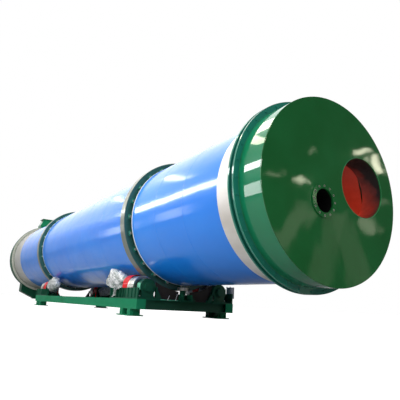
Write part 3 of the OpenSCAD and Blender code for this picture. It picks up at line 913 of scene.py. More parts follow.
@dataclass
class Drum(SubAssembly):
    """The drum: cladding, bands, tyres, pads and their stop blocks.

    Attributes:
        pad_places: places for pads around each tyre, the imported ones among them.
        block_length: length of a stop block along the drum.
        block_width: its width around the drum.
        block_height: its height up the tyre's side.
        flashing: width of the edge flashings beside the tyres.
        lap: width of the strip over a joint in the cladding.
        sheet: longest sheet of cladding between two laps.
    """

    pad_places: int = 24
    block_length: float = 44 * MM
    block_width: float = 90 * MM
    block_height: float = 60 * MM
    flashing: float = 30 * MM
    lap: float = 24 * MM
    sheet: float = 1.25

    def build(self) -> None:
        """Dresses the drum."""
        self.finish_nodes("blue", "cladding_far", "cladding_middle", "cladding_near")
        self.finish_nodes("band", "bare_bands")
        self.finish_nodes("tyre", "tyre_near", "tyre_far")
        self.finish_nodes("shell", "drum_shell")
        self.finish_nodes("dark", "tyre_pads")
        self.finish_nodes("flights", "lifting_flights")
        self.flashings()
        self.laps()
        for end in ("near", "far"):
            self.pads(end)
            self.stop_blocks(end)

    @property
    def axis(self) -> float:
        """Height of the drum's axis."""
        return axis_and_radius("tyre_near")[0]

    @property
    def outside(self) -> float:
        """Radius over the cladding."""
        return axis_and_radius("cladding_middle")[1]

    def flashings(self) -> None:
        """Pale edge strips where the cladding ends at a tyre or at a band."""
        low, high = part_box("cladding_middle")
        ends = {
            "middle_a": low.x,
            "middle_b": high.x - self.flashing,
            "near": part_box("cladding_near")[0].x,
            "far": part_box("cladding_far")[1].x - self.flashing,
        }
        for label, x in ends.items():
            ring = Workshop.hoop(
                f"edge_flashing_{label}", x, x + self.flashing, self.outside + 3 * MM, 3 * MM, 0.0, self.axis
            )
            self.fit(ring, "white", Slot.BAND, Body.DRUM)

    def laps(self) -> None:
        """Thin lap strips where two sheets of cladding meet."""
        for node in ("cladding_far", "cladding_middle", "cladding_near"):
            low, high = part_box(node)
            count = math.ceil((high.x - low.x) / self.sheet)
            pitch = (high.x - low.x) / count
            joint = low.x + pitch
            strip = Workshop.hoop(
                f"lap_{node}", joint - self.lap / 2, joint + self.lap / 2,
                self.outside + 1.2 * MM, 2 * MM, 0.0, self.axis, edge=0.5 * MM,
            )
            Workshop.row(strip, count - 1, pitch)
            self.fit(strip, "blue", Slot.BLUE, Body.DRUM)

    def pad_radii(self) -> tuple[float, float]:
        """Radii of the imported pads' underside and top."""
        vertices = self.nodes["tyre_pads"].data.vertices
        radii = [math.hypot(v.co.y, v.co.z - self.axis) for v in vertices]
        return min(radii), max(radii)

    def pads(self, end: str) -> None:
        """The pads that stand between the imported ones.

        Args:
            end: near or far.
        """
        low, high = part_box(f"tyre_{end}")
        pad_low, pad_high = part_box("tyre_pads")
        proud = low.x - pad_low.x if end == "far" else pad_high.x - high.x
        underside, top = self.pad_radii()
        pad = Workshop.plate(
            f"extra_pads_{end}", (low.x - proud, -self.block_width, self.axis + underside),
            (high.x + proud, self.block_width, self.axis + top - 2 * MM), 3 * MM,
        )
        Workshop.around(pad, self.pad_places // 2, 0.0, self.axis)
        self.fit(pad, "dark", Slot.DARK_GREEN, Body.DRUM)

    def stop_blocks(self, end: str) -> None:
        """Blocks on the pads that keep the tyre in its place, with a bolt in each.

        Args:
            end: near or far.
        """
        low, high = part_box(f"tyre_{end}")
        foot = self.axis + self.pad_radii()[1] - 1 * MM
        for side, face, out in (("inner", low.x, -1.0), ("outer", high.x, 1.0)):
            head = face + out * self.block_length
            block = Workshop.plate(
                f"stop_blocks_{end}_{side}", (face + out * 1 * MM, -self.block_width / 2, foot),
                (head, self.block_width / 2, foot + self.block_height), 5 * MM,
            )
            with Workshop.editing(block):
                Workshop.pick(block, lambda centre, normal: normal.z > 0.9)
                bpy.ops.mesh.inset(thickness=6 * MM)
                bpy.ops.transform.translate(value=(-out * 5 * MM, 0.0, 3 * MM))
            bolt = Workshop.bolt(
                f"block_bolts_{end}_{side}", (head, 0.0, foot + self.block_height / 2), (out, 0.0, 0.0),
                27 * MM,
            )
            for piece, finish, slot in ((block, "flange", Slot.DARK_GREEN), (bolt, "plated", Slot.STEEL)):
                Workshop.around(piece, self.pad_places, 0.0, self.axis)
                self.fit(piece, finish, slot, Body.DRUM)


# ---- Hoods ----


@dataclass
class InletHood(SubAssembly):
    """The inlet hood: flange, shell, end plate and gas inlet.

    Attributes:
        bolt_count: bolts around the flange.
        bead: size of the weld bead around the end plate.
        lip: width of the worn lips on the flange.
        rim: width of the bright rim around the gas inlet.
    """

    bolt_count: int = 36
    bead: float = 7 * MM
    # lip: width of the pale lips on the flange's edges, which are painted highlight.
    lip: float = 5 * MM
    rim: float = 9 * MM

    def build(self) -> None:
        """Dresses the hood."""
        self.finish_nodes("flange", "inlet_hood_flange")
        self.finish_nodes("hood", "inlet_hood_shell")
        self.finish_nodes("disc", "inlet_hood_front")
        self.finish_nodes("sleeve", "gas_inlet_sleeve")
        self.edge_beads()
        self.flange_edge()
        self.inlet_rim()
        dress_port(self, "inlet_port", 1.0)

    def edge_beads(self) -> None:
        """Weld beads where the shell meets the end plate and the flange."""
        low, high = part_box("inlet_hood_shell")
        axis, radius = axis_and_radius("inlet_hood_shell")
        for label, x in (("front", high.x), ("flange", low.x)):
            bead = Workshop.ring_bead(f"inlet_bead_{label}", x, radius, axis, self.bead)
            self.fit(bead, "rim", Slot.GREEN)

    def flange_edge(self) -> None:
        """Bolts around the flange, and thin pale green lips along its edges, which are painted highlight."""
        low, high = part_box("inlet_hood_flange")
        axis, radius = axis_and_radius("inlet_hood_flange")
        for label, x in (("back", low.x), ("front", high.x - self.lip)):
            lip = Workshop.hoop(
                f"flange_lip_{label}", x, x + self.lip, radius + 0.4 * MM, 3 * MM, 0.0, axis, edge=0.4 * MM
            )
            self.fit(lip, "cast", Slot.GREEN)
        circle = (radius + axis_and_radius("inlet_hood_shell")[1]) / 2
        self.flange_bolts("inlet_flange_bolts", high.x, circle, axis, self.bolt_count, "flange", Slot.GREEN)

    def inlet_rim(self) -> None:
        """The rim around the gas inlet's edge."""
        low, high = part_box("gas_inlet_sleeve")
        axis, radius = axis_and_radius("gas_inlet_sleeve")
        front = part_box("inlet_hood_shell")[1].x
        face = max(v.co.x for v in self.nodes["inlet_hood_front"].data.vertices if abs(v.co.y) > 1.0)
        ring = Workshop.hoop(
            "gas_inlet_rim", front, face + 3 * MM, radius + 2 * MM, self.rim, (low.y + high.y) / 2, axis,
            128, 2 * MM,
        )
        self.fit(ring, "rim", Slot.GREEN)


@dataclass
class OutletHood(SubAssembly):
    """The outlet hood: rim, shell, back plate and the two ducts.

    Attributes:
        bolt_count: bolts around the rim.
        bead: size of the weld bead around the back plate.
        felt: thickness of the seal around the drum.
        duct: length of a duct's mouth along the drum, inside its flange.
    """

    bolt_count: int = 32
    bead: float = 7 * MM
    felt: float = 5 * MM
    duct: float = 440 * MM

    def build(self) -> None:
        """Dresses the hood."""
        # The hood's shell and hopper, and their beads, take the dark green where its exhaust duct takes the
        # bright green: painted shade on the parts turned away from the light.
        self.finish_nodes("dark", "outlet_hood_shell", "discharge_hopper")
        self.finish_nodes("back", "outlet_hood_back")
        self.finish_nodes("hood", "exhaust_duct")
        self.edges()
        self.duct_corners()
        dress_port(self, "outlet_port", -1.0)

    def edges(self) -> None:
        """The back plate's weld bead, and the rim's bolts and pale felt seal around the drum."""
        low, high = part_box("outlet_hood_shell")
        axis, back = axis_and_radius("outlet_hood_back")
        bead = Workshop.ring_bead("outlet_bead_back", low.x, back, (low.z + high.z) / 2, self.bead)
        self.fit(bead, "dark", Slot.DARK_GREEN)
        rim = (high.z - low.z) / 2
        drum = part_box("cladding_middle")[1].y
        outer, inner = rim - 14 * MM, drum + 9 * MM
        seal = Workshop.hoop("outlet_seal", high.x, high.x + self.felt, outer, outer - inner, 0.0, axis)
        self.fit(seal, "felt", Slot.BAND)
        face, circle = high.x + self.felt, (rim + drum) / 2
        self.flange_bolts("outlet_rim_bolts", face, circle, axis, self.bolt_count, "plated", Slot.STEEL)

    def duct_corners(self) -> None:
        """Weld beads down the corners of both ducts."""
        for node, finish, slot in (
            ("discharge_hopper", "dark", Slot.DARK_GREEN), ("exhaust_duct", "hood", Slot.GREEN),
        ):
            low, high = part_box(node)
            points = [v.co for v in self.nodes[node].data.vertices]
            wide = max(point.y for point in points)
            level = [point.z for point in points if point.y > wide - 1 * MM]
            flange = (high.x - low.x - self.duct) / 2
            beads = [
                Workshop.bead(f"{node}_bead", (x, y, min(level)), (x, y, max(level)), 4 * MM)
                for x, y in product((low.x + flange, high.x - flange), (-wide, wide))
            ]
            self.fit_group(f"{node}_beads", beads, finish, slot)


def dress_port(hood: SubAssembly, mount: str, out: float) -> None:
    """Puts a black tube into a round port, painted shade that keeps its inside dark, and bright rims around
    its bolt holes.

    Args:
        hood: the hood that has the port.
        mount: the port's mount in the record.
        out: 1 or -1, the way that the port faces along X.
    """
    mounts = {each["name"]: each for each in FRAME["record"]["mounts"]}
    ring = mounts[f"{mount}_bolts"]
    centre, dims = Vector(ring["pos_m"]), ring["dims"]
    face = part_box("inlet_hood_front")[1].x if out > 0 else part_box("outlet_hood_back")[0].x
    behind, deep = face - out * 3 * MM, face - out * 330 * MM
    hole, circle = dims["hole_r_mm"] * MM, dims["pcd_mm"] * MM / 2
    opening = mounts[mount]["dims"]["r_mm"] * MM
    # The black tube is painted shade inside the port.
    shade_tube = Workshop.hoop(
        f"{mount}_liner", deep, behind, opening + 4 * MM, 4 * MM, centre.y, centre.z, 96
    )
    hood.fit(shade_tube, "shade_tube", Slot.DARK_GREEN)
    rim = Workshop.hoop(
        f"{mount}_hole_rims", behind, face + out * 2 * MM, hole + 6 * MM, 6 * MM, centre.y,
        centre.z + circle, 20, 0.8 * MM,
    )
    Workshop.around(rim, dims["count"], centre.y, centre.z)
    hood.fit(rim, "plated", Slot.STEEL)


# ---- Skid ----


@dataclass
class Skid(SubAssembly):
    """The skid: beams and feet, with their stiffeners and gussets.

    Attributes:
        stiffeners: plates along each side beam.
        stiffener: thickness of such a plate.
        web: thickness of a side beam's web.
        flange: thickness of its flanges.
        sole: thickness of a foot's sole.
        gusset: height of a gusset on it.
    """

    stiffeners: int = 9
    stiffener: float = 10 * MM
    web: float = 9 * MM
    flange: float = 11 * MM
    sole: float = 20 * MM
    gusset: float = 70 * MM

    def build(self) -> None:
        """Dresses the skid."""
        self.finish_nodes("beam", "skid_beam_left", "skid_beam_right", "skid_feet")
        # The end and cross beams take the dark green where the side beams take the bright green: painted
        # shade on faces turned away from the light.
        self.finish_nodes("dark", "skid_end_beams", "skid_cross_beams")
        self.side_stiffeners("left", self.web, 0.0)
        self.side_stiffeners("right", 0.0, self.web)
        self.foot_gussets()

    def side_stiffeners(self, side: str, left: float, right: float) -> None:
        """Plates between the flanges on the open side of a side beam.

        Args:
            side: left or right.
            left: the web's thickness if it is on the beam's left.
            right: the web's thickness if it is on the beam's right.
        """
        low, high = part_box(f"skid_beam_{side}")
        pitch = (high.x - low.x) / (self.stiffeners + 1)
        first = low.x + pitch
        plate = Workshop.plate(
            f"beam_stiffeners_{side}",
            (first - self.stiffener / 2, low.y + left + 4 * MM, low.z + self.flange),
            (first + self.stiffener / 2, high.y - right - 4 * MM, high.z - self.flange), 1.5 * MM,
        )
        Workshop.row(plate, self.stiffeners, pitch)
        self.fit(plate, "beam", Slot.GREEN)

    def foot_gussets(self) -> None:
        """Triangular gussets between the feet's posts and their soles."""
        for mount in FRAME["record"]["mounts"]:
            name, centre = mount["name"], Vector(mount["pos_m"])
            if not (name.startswith("foot_") and name.endswith("_sole")):
                continue
            length, half, tip = 40 * MM, 5 * MM, 12 * MM
            gussets = []
            for sx, sy in product((-1.0, 1.0), repeat=2):
                x, y = centre.x + sx * 230 * MM, centre.y + sy * 60 * MM
                gusset = Workshop.plate(
                    "gusset", (x, y - half, self.sole), (x + sx * length, y + half, self.sole + self.gusset),
                    1 * MM,
                )
                Workshop.drop_corner(gusset, lambda v: sx * (v.x - x) > length / 2, self.gusset - tip)
                gussets.append(gusset)
            self.fit_group(name.replace("_sole", "_gussets"), gussets, "beam", Slot.GREEN)


# ---- Roller stations ----


@dataclass(frozen=True)
class Bearing:
    """Sizes of a bearing housing, which its fittings are placed by.

    Attributes:
        half: half its length along the shaft.
        foot: height of its foot.
        pitch: half the distance between its foot bolts along the shaft.
        edge: distance of a foot bolt from the foot's edge.
        radius: distance of its flanks and its crown from the axis.
        cover_circle: radius of the cover bolts' circle.
        cap: radius of the cap over the shaft's end.
        cap_wall: thickness of the cap's wall and lid.
        cap_room: space between the shaft's end and the lid.
        cap_circle: radius of the cap screws' circle.
    """

    half: float = 90 * MM
    foot: float = 32 * MM
    pitch: float = 48 * MM
    edge: float = 20 * MM
    radius: float = 155 * MM
    cover_circle: float = 93 * MM
    cap: float = 82 * MM
    cap_wall: float = 9 * MM
    cap_room: float = 8 * MM
    cap_circle: float = 62 * MM


@dataclass
class RollerStation(SubAssembly):
    """One roller with its bearings, guard, stand and wrapped drive.

    Attributes:
        end: near or far.
        side: left or right.
        bearing: sizes of its bearings.
        voxel: mesh size of the film before it is simulated.
        frames: frames that the film is simulated for.
        reach: the furthest that the simulation may move a point of the film.
        folds: kind, size and depth of each layer of folds in the film.
        flat_ratio: width to length of a flat rectangle of film; not used.
        slump: how far the film has slid off the drive's crown and past its tail.
        tail: whether a twisted end of the film hangs over the stand's wall.
    """

    end: str = "near"
    side: str = "left"
    bearing: Bearing = Bearing()
    voxel: float = 22 * MM
    frames: int = 22
    reach: float = 30 * MM
    folds: Sequence[tuple[str, float, float]] = (
        ("CLOUDS", 260 * MM, 60 * MM), ("VORONOI", 150 * MM, 44 * MM),
        ("VORONOI", 60 * MM, 16 * MM), ("CLOUDS", 30 * MM, 6 * MM),
    )
    flat_ratio: float = 0.8
    slump: float = 0.0
    tail: bool = False

    @property
    def place(self) -> str:
        """The end of this station's node names."""
        return f"{self.end}_{self.side}"

    @property
    def outboard(self) -> float:
        """1 or -1, the way along X from the tyre towards its end of the skid."""
        return 1.0 if self.end == "near" else -1.0

    @property
    def outwards(self) -> float:
        """1 or -1, the way along Y from the drum's middle."""
        return 1.0 if self.side == "right" else -1.0

    def build(self) -> None:
        """Dresses the station."""
        self.finish_nodes("dark", f"stand_{self.place}", f"bearings_{self.place}")
        self.finish_nodes("steel", f"roller_{self.place}")
        self.finish_nodes("red", f"guard_{self.place}")
        self.bearing_bolts()
        self.end_cap()
        self.flank_highlight_plates()
        self.jack_brackets()
        self.guard_foot()
        self.film()

    def axis(self) -> Vector:
        """A point on the roller's axis, in the middle of its tread."""
        joint = next(j for j in FRAME["joints"] if j["child"] == f"roller_{self.place}")
        return Vector(joint["pos_m"])

    def box(self, part: str) -> tuple[Vector, Vector]:
        """Corners of one of this station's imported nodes."""
        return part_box(f"{part}_{self.place}")

    def tip(self, part: str) -> float:
        """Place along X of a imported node's outboard end."""
        low, high = self.box(part)
        return high.x if self.outboard > 0 else low.x

    def bearing_bolts(self) -> None:
        """Foot bolts, cover bolts and a grease nipple on both bearings."""
        axis = self.axis()
        size = self.bearing
        low, high = self.box("bearings")
        half_foot = (high.y - low.y) / 2
        bolts, covers = [], []
        for face, out in ((low.x, -1.0), (high.x, 1.0)):
            middle = face - out * size.half
            for dx, dy in product((-size.pitch, size.pitch), (-1.0, 1.0)):
                at = (middle + dx, axis.y + dy * (half_foot - size.edge), low.z + size.foot)
                bolts.append(Workshop.bolt("bolt", at, UP, 20 * MM))
            top = (face, axis.y, axis.z + size.cover_circle)
            cover = Workshop.bolt("bolt", top, (out, 0.0, 0.0), 8 * MM)
            Workshop.around(cover, 6, axis.y, axis.z)
            covers.append(cover)
            covers.append(Workshop.add(
                bpy.ops.mesh.primitive_cone_add, "nipple", vertices=12, radius1=9 * MM, radius2=5 * MM,
                depth=22 * MM, location=(middle, axis.y, axis.z + size.radius + 10 * MM),
            ))
        self.fit_group(f"bearing_bolts_{self.place}", bolts, "plated", Slot.STEEL)
        self.fit_group(f"cover_bolts_{self.place}", covers, "dark", Slot.DARK_GREEN)

    def end_cap(self) -> None:
        """The cap over the shaft's end on the outboard bearing."""
        axis = self.axis()
        size = self.bearing
        face = self.tip("bearings")
        crown = max(self.outboard * (self.tip("roller") - face), 0.0) + size.cap_room
        lid = face + self.outboard * crown
        wall = Workshop.hoop("wall", face, lid, size.cap, size.cap_wall, axis.y, axis.z, 48, 1 * MM)
        plate = Workshop.add(
            bpy.ops.mesh.primitive_cylinder_add, "lid", vertices=48, radius=size.cap, depth=size.cap_wall,
            location=(lid + self.outboard * size.cap_wall / 2, axis.y, axis.z), rotation=ALONG_X,
        )
        Workshop.modify(plate, "BEVEL", width=3 * MM, segments=3, limit_method="ANGLE")
        at = (lid + self.outboard * size.cap_wall, axis.y, axis.z + size.cap_circle)
        screw = Workshop.bolt("screw", at, (self.outboard, 0.0, 0.0), 7 * MM)
        Workshop.around(screw, 4, axis.y, axis.z)
        self.fit_group(f"end_cap_{self.place}", [wall, plate, screw], "dark", Slot.DARK_GREEN)

    def flank_highlight_plates(self) -> None:
        """Pale green plates with four screws each on the outer flanks of both bearings: painted highlight
        where light falls on each flank.
        """
        axis = self.axis()
        low, high = self.box("bearings")
        half_width, inset, sunk = 55 * MM, 13 * MM, 45 * MM
        flank = axis.y + self.outwards * self.bearing.radius
        back, front = flank - self.outwards * sunk, flank + self.outwards * 9 * MM
        bottom, top = axis.z - 45 * MM, axis.z + 75 * MM
        covers = []
        # Each pale plate stands for the highlight on a bearing's flank: painted highlight.
        for middle in (low.x + 75 * MM, high.x - 75 * MM):
            covers.append(Workshop.plate(
                "cover", (middle - half_width, back, bottom), (middle + half_width, front, top), 4 * MM
            ))
            for dx, z in product((inset - half_width, half_width - inset), (bottom + inset, top - inset)):
                at = (middle + dx, front, z)
                covers.append(Workshop.bolt("screw", at, (0.0, self.outwards, 0.0), 5 * MM))
        self.fit_group(f"flank_highlight_plates_{self.place}", covers, "cast", Slot.GREEN)

    def jack_brackets(self) -> None:
        """Brackets with a screw against each bearing's foot, standing on the beams across the skid."""
        axis = self.axis()
        low, high = self.box("bearings")
        beam_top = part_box("skid_end_beams")[1].z
        half_width, thick, depth, height = 38 * MM, 18 * MM, 120 * MM, 230 * MM
        web_height, web_half, web_slope = 190 * MM, 5 * MM, 160 * MM
        foot = axis.y - self.outwards * (high.y - low.y) / 2
        face = foot - self.outwards * 4 * MM
        back, heel = face - self.outwards * thick, face - self.outwards * depth
        level = beam_top + 34 * MM
        steel, screws = [], []
        for local in (305 * MM, -290 * MM):
            x = axis.x + self.outboard * local
            steel.append(Workshop.plate(
                "upright", (x - half_width, face, beam_top), (x + half_width, back, beam_top + height)
            ))
            for middle in (x - 26 * MM, x + 26 * MM):
                web = Workshop.plate(
                    "web", (middle - web_half, back, beam_top),
                    (middle + web_half, heel, beam_top + web_height), 1 * MM,
                )
                Workshop.drop_corner(web, lambda v: (v.y - (back + heel) / 2) * self.outwards < 0, web_slope)
                steel.append(web)
            start = (x, back - self.outwards * 70 * MM, level)
            screws.append(Workshop.bead("screw", start, (x, foot - self.outwards * 1 * MM, level), 11 * MM))
            screws.append(Workshop.bolt("nut", (x, back, level), (0.0, -self.outwards, 0.0), 22 * MM))
        self.fit_group(f"jack_brackets_{self.place}", steel, "dark", Slot.DARK_GREEN)
        self.fit_group(f"jack_screws_{self.place}", screws, "plated", Slot.STEEL)

    def guard_foot(self) -> None:
        """An angle foot along the guard's inner side, with its bolts."""
        low, high = self.box("guard")
        width, thick, margin = 34 * MM, 6 * MM, 8 * MM
        inner = low.y if self.outwards > 0 else high.y
        edge, top = inner - self.outwards * width, low.z + thick
        foot = Workshop.plate(
            "foot", (low.x + margin, inner, low.z), (high.x - margin, edge, top), 1 * MM
        )
        bolts = [
            Workshop.bolt("bolt", (x, inner - self.outwards * 20 * MM, top), UP, 10 * MM)
            for x in (low.x + share * (high.x - low.x) for share in (0.2, 0.8))
        ]
        self.fit_group(f"guard_foot_{self.place}", [foot], "red", Slot.RED)
        self.fit_group(f"guard_bolts_{self.place}", bolts, "plated", Slot.STEEL)

    def film(self) -> None:
        """The crumpled film that the drive is wrapped in, open around its pedestal and its shaft."""
        form = Workshop.copy(self.nodes[f"drive_{self.place}"], f"drive_wrap_{self.place}")
        Workshop.outward(form)
        core = Workshop.copy(form, "wrapped_core")
        Workshop.modify(core, "REMESH", mode="VOXEL", voxel_size=self.voxel)
        Workshop.modify(core, "DISPLACE", strength=-9 * MM, mid_level=0.0)
        Workshop.modify(form, "REMESH", mode="VOXEL", voxel_size=self.voxel)
        self.open_film(form)
        self.slide(form)
        self.slacken(form, core)
        bpy.data.objects.remove(core)
        self.crumple(form)
        self.fit(form, "film", Slot.FILM)
        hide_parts(f"drive_{self.place}")

    def open_film(self, form: Piece) -> None:
        """Cuts the film away at the shaft's end and around the pedestal.

        Args:
            form: the film's mesh.
        """
        axis = self.axis()
        nose = self.tip("drive")
        bottom = self.box("drive")[0].z

        def spare(centre: Vector, normal: Vector) -> bool:
            """True for faces that the film leaves open."""
            behind = self.outboard * (nose - centre.x)
            at_pedestal = 20 * MM < behind < 310 * MM and abs(centre.y - axis.y) < 120 * MM
            return behind < 6 * MM or (at_pedestal and centre.z < bottom + 30 * MM)

        with Workshop.editing(form):
            Workshop.pick(form, spare)
            bpy.ops.mesh.delete(type="FACE")

    def slacken(self, form: Piece, core: Piece) -> None:
        """Lets the film sag and wrinkle over the drive.

        Args:
            form: the film.
            core: the solid that it lies on.
        """
        before = [vertex.co.copy() for vertex in form.data.vertices]
        Workshop.only(core)
        core.modifiers.new("collision", "COLLISION")
        core.collision.thickness_outer = 2 * MM
        cloth = form.modifiers.new("cloth", "CLOTH")
        for key, value in (
            ("quality", 6), ("mass", 0.15), ("tension_stiffness", 12.0), ("compression_stiffness", 12.0),
            ("shear_stiffness", 4.0), ("bending_stiffness", 0.05), ("shrink_min", -0.10),
        ):
            setattr(cloth.settings, key, value)
        cloth.collision_settings.distance_min = 3 * MM
        cloth.collision_settings.use_self_collision = False
        cloth.point_cache.frame_start = 1
        cloth.point_cache.frame_end = self.frames
        scene = bpy.context.scene
        for frame in range(1, self.frames + 1):
            scene.frame_set(frame)
        Workshop.only(form)
        bpy.ops.object.modifier_apply(modifier="cloth")
        scene.frame_set(1)
        for vertex, start in zip(form.data.vertices, before):
            move = vertex.co - start
            if move.length > self.reach:
                vertex.co = start + move * (self.reach / move.length)

    def slide(self, form: Piece) -> None:
        """Slides the loose film down from the crown and along past the drive's tail.

        Args:
            form: the film.
        """
        low, high = self.box("drive")
        nose, held = self.tip("drive"), 0.4
        for vertex in form.data.vertices:
            along = self.outboard * (nose - vertex.co.x) / (high.x - low.x)
            above = (vertex.co.z - low.z) / (high.z - low.z)
            vertex.co.z -= self.slump * max(0.0, above - held)
            vertex.co.x -= self.outboard * 2.0 * self.slump * max(0.0, along - held)

    @staticmethod
    def fold(form: Piece, kind: str, size: float, depth: float) -> None:
        """Presses one layer of folds into a film.

        Args:
            form: the film.
            kind: CLOUDS for soft folds, VORONOI for creases.
            size: size of the folds.
            depth: how deep they are from crest to trough.
        """
        folds = bpy.data.textures.new("folds", kind)
        folds.noise_scale = size
        if kind == "VORONOI":
            folds.weight_1 = -1.0
            folds.weight_2 = 1.0
        Workshop.modify(
            form, "DISPLACE", texture=folds, texture_coords="LOCAL", strength=depth, mid_level=0.5
        )

    def crumple(self, form: Piece) -> None:
        """Presses folds and creases into the film and keeps it clear of the drum, the guard and the stand.

        Args:
            form: the film.
        """
        Workshop.modify(form, "SUBSURF", levels=2, render_levels=2)
        for layer in self.folds:
            self.fold(form, *layer)
        clad_low, clad_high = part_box("cladding_middle")
        drum, centre = clad_high.y + 16 * MM, clad_low.z + clad_high.y
        nose = self.tip("drive") - self.outboard * 4 * MM
        floor = self.box("stand")[0].z + 22 * MM
        for vertex in form.data.vertices:
            if self.outboard * (vertex.co.x - nose) > 0:
                vertex.co.x = nose
            vertex.co.z = max(vertex.co.z, floor)
            out = Vector((vertex.co.y, vertex.co.z - centre))
            if out.length < drum:
                out *= drum / out.length
                vertex.co.y, vertex.co.z = out.x, out.y + centre
        if self.tail:
            Workshop.join(form.name, [form, self.film_tail()])
        Workshop.smooth(form, 32.0)

    def film_tail(self) -> Piece:
        """The twisted end of the film, from the guard's foot down over the stand's wall."""
        axis = self.axis()
        wall = self.box("stand")
        outside = wall[0].y - 20 * MM if self.outwards < 0 else wall[1].y + 20 * MM
        start = Vector((self.tip("drive"), axis.y + self.outwards * 170 * MM, axis.z + 105 * MM))
        end = Vector((start.x - self.outboard * 250 * MM, outside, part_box("skid_end_beams")[1].z + 36 * MM))
        run = end - start
        ribbon = Workshop.add(
            bpy.ops.mesh.primitive_grid_add, "film_tail", x_subdivisions=90, y_subdivisions=14, size=1.0
        )
        for vertex in ribbon.data.vertices:
            share = vertex.co.x + 0.5
            belly = math.sin(math.pi * min(1.0, share * 1.1))
            wide = 50 * MM + 90 * MM * belly + 30 * MM * share
            wave = 12 * MM * math.sin(31.0 * vertex.co.y)
            vertex.co = Vector((vertex.co.x * run.length, vertex.co.y * wide, wave))
        Workshop.modify(
            ribbon, "SIMPLE_DEFORM", deform_method="TWIST", deform_axis="X", angle=math.radians(300)
        )
        self.fold(ribbon, "CLOUDS", 50 * MM, 26 * MM)
        turn = run.to_track_quat("X", "Z").to_matrix().to_4x4()
        ribbon.matrix_world = Matrix.Translation((start + end) / 2) @ turn
        return Workshop.settle("film_tail")


@dataclass
class JunctionBox(SubAssembly):
    """The grey box that is screwed to the outside of the near right stand's wall."""

    def build(self) -> None:
        """Builds the box, its lid and its two straps."""
        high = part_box("stand_near_right")[1]
        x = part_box("roller_near_right")[1].x - 55 * MM
        wall, top = high.y - 10 * MM, high.z
        back, mouth, lid = wall + 6 * MM, wall + 76 * MM, wall + 88 * MM
        parts = [
            Workshop.plate(
                name, (middle - half, start, top - down), (middle + half, end, top + up), edge
            )
            for name, middle, half, start, end, down, up, edge in (
                ("box", x, 80 * MM, back, mouth, 85 * MM, 135 * MM, 5 * MM),
                ("lid", x, 84 * MM, mouth, lid, 89 * MM, 139 * MM, 4 * MM),
                ("strap", x - 55 * MM, 14 * MM, wall, back, 110 * MM, 150 * MM, 1 * MM),
                ("strap", x + 55 * MM, 14 * MM, wall, back, 110 * MM, 150 * MM, 1 * MM),
            )
        ]
        screws = [
            Workshop.bolt("screw", (x + dx, lid, top + dz), (0.0, 1.0, 0.0), 6 * MM)
            for dx, dz in product((-66 * MM, 66 * MM), (-70 * MM, 120 * MM))
        ]
        self.fit_group("junction_box", parts, "grey", Slot.STEEL)
        self.fit_group("junction_box_screws", screws, "plated", Slot.STEEL)


# ---- Thrust rollers ----


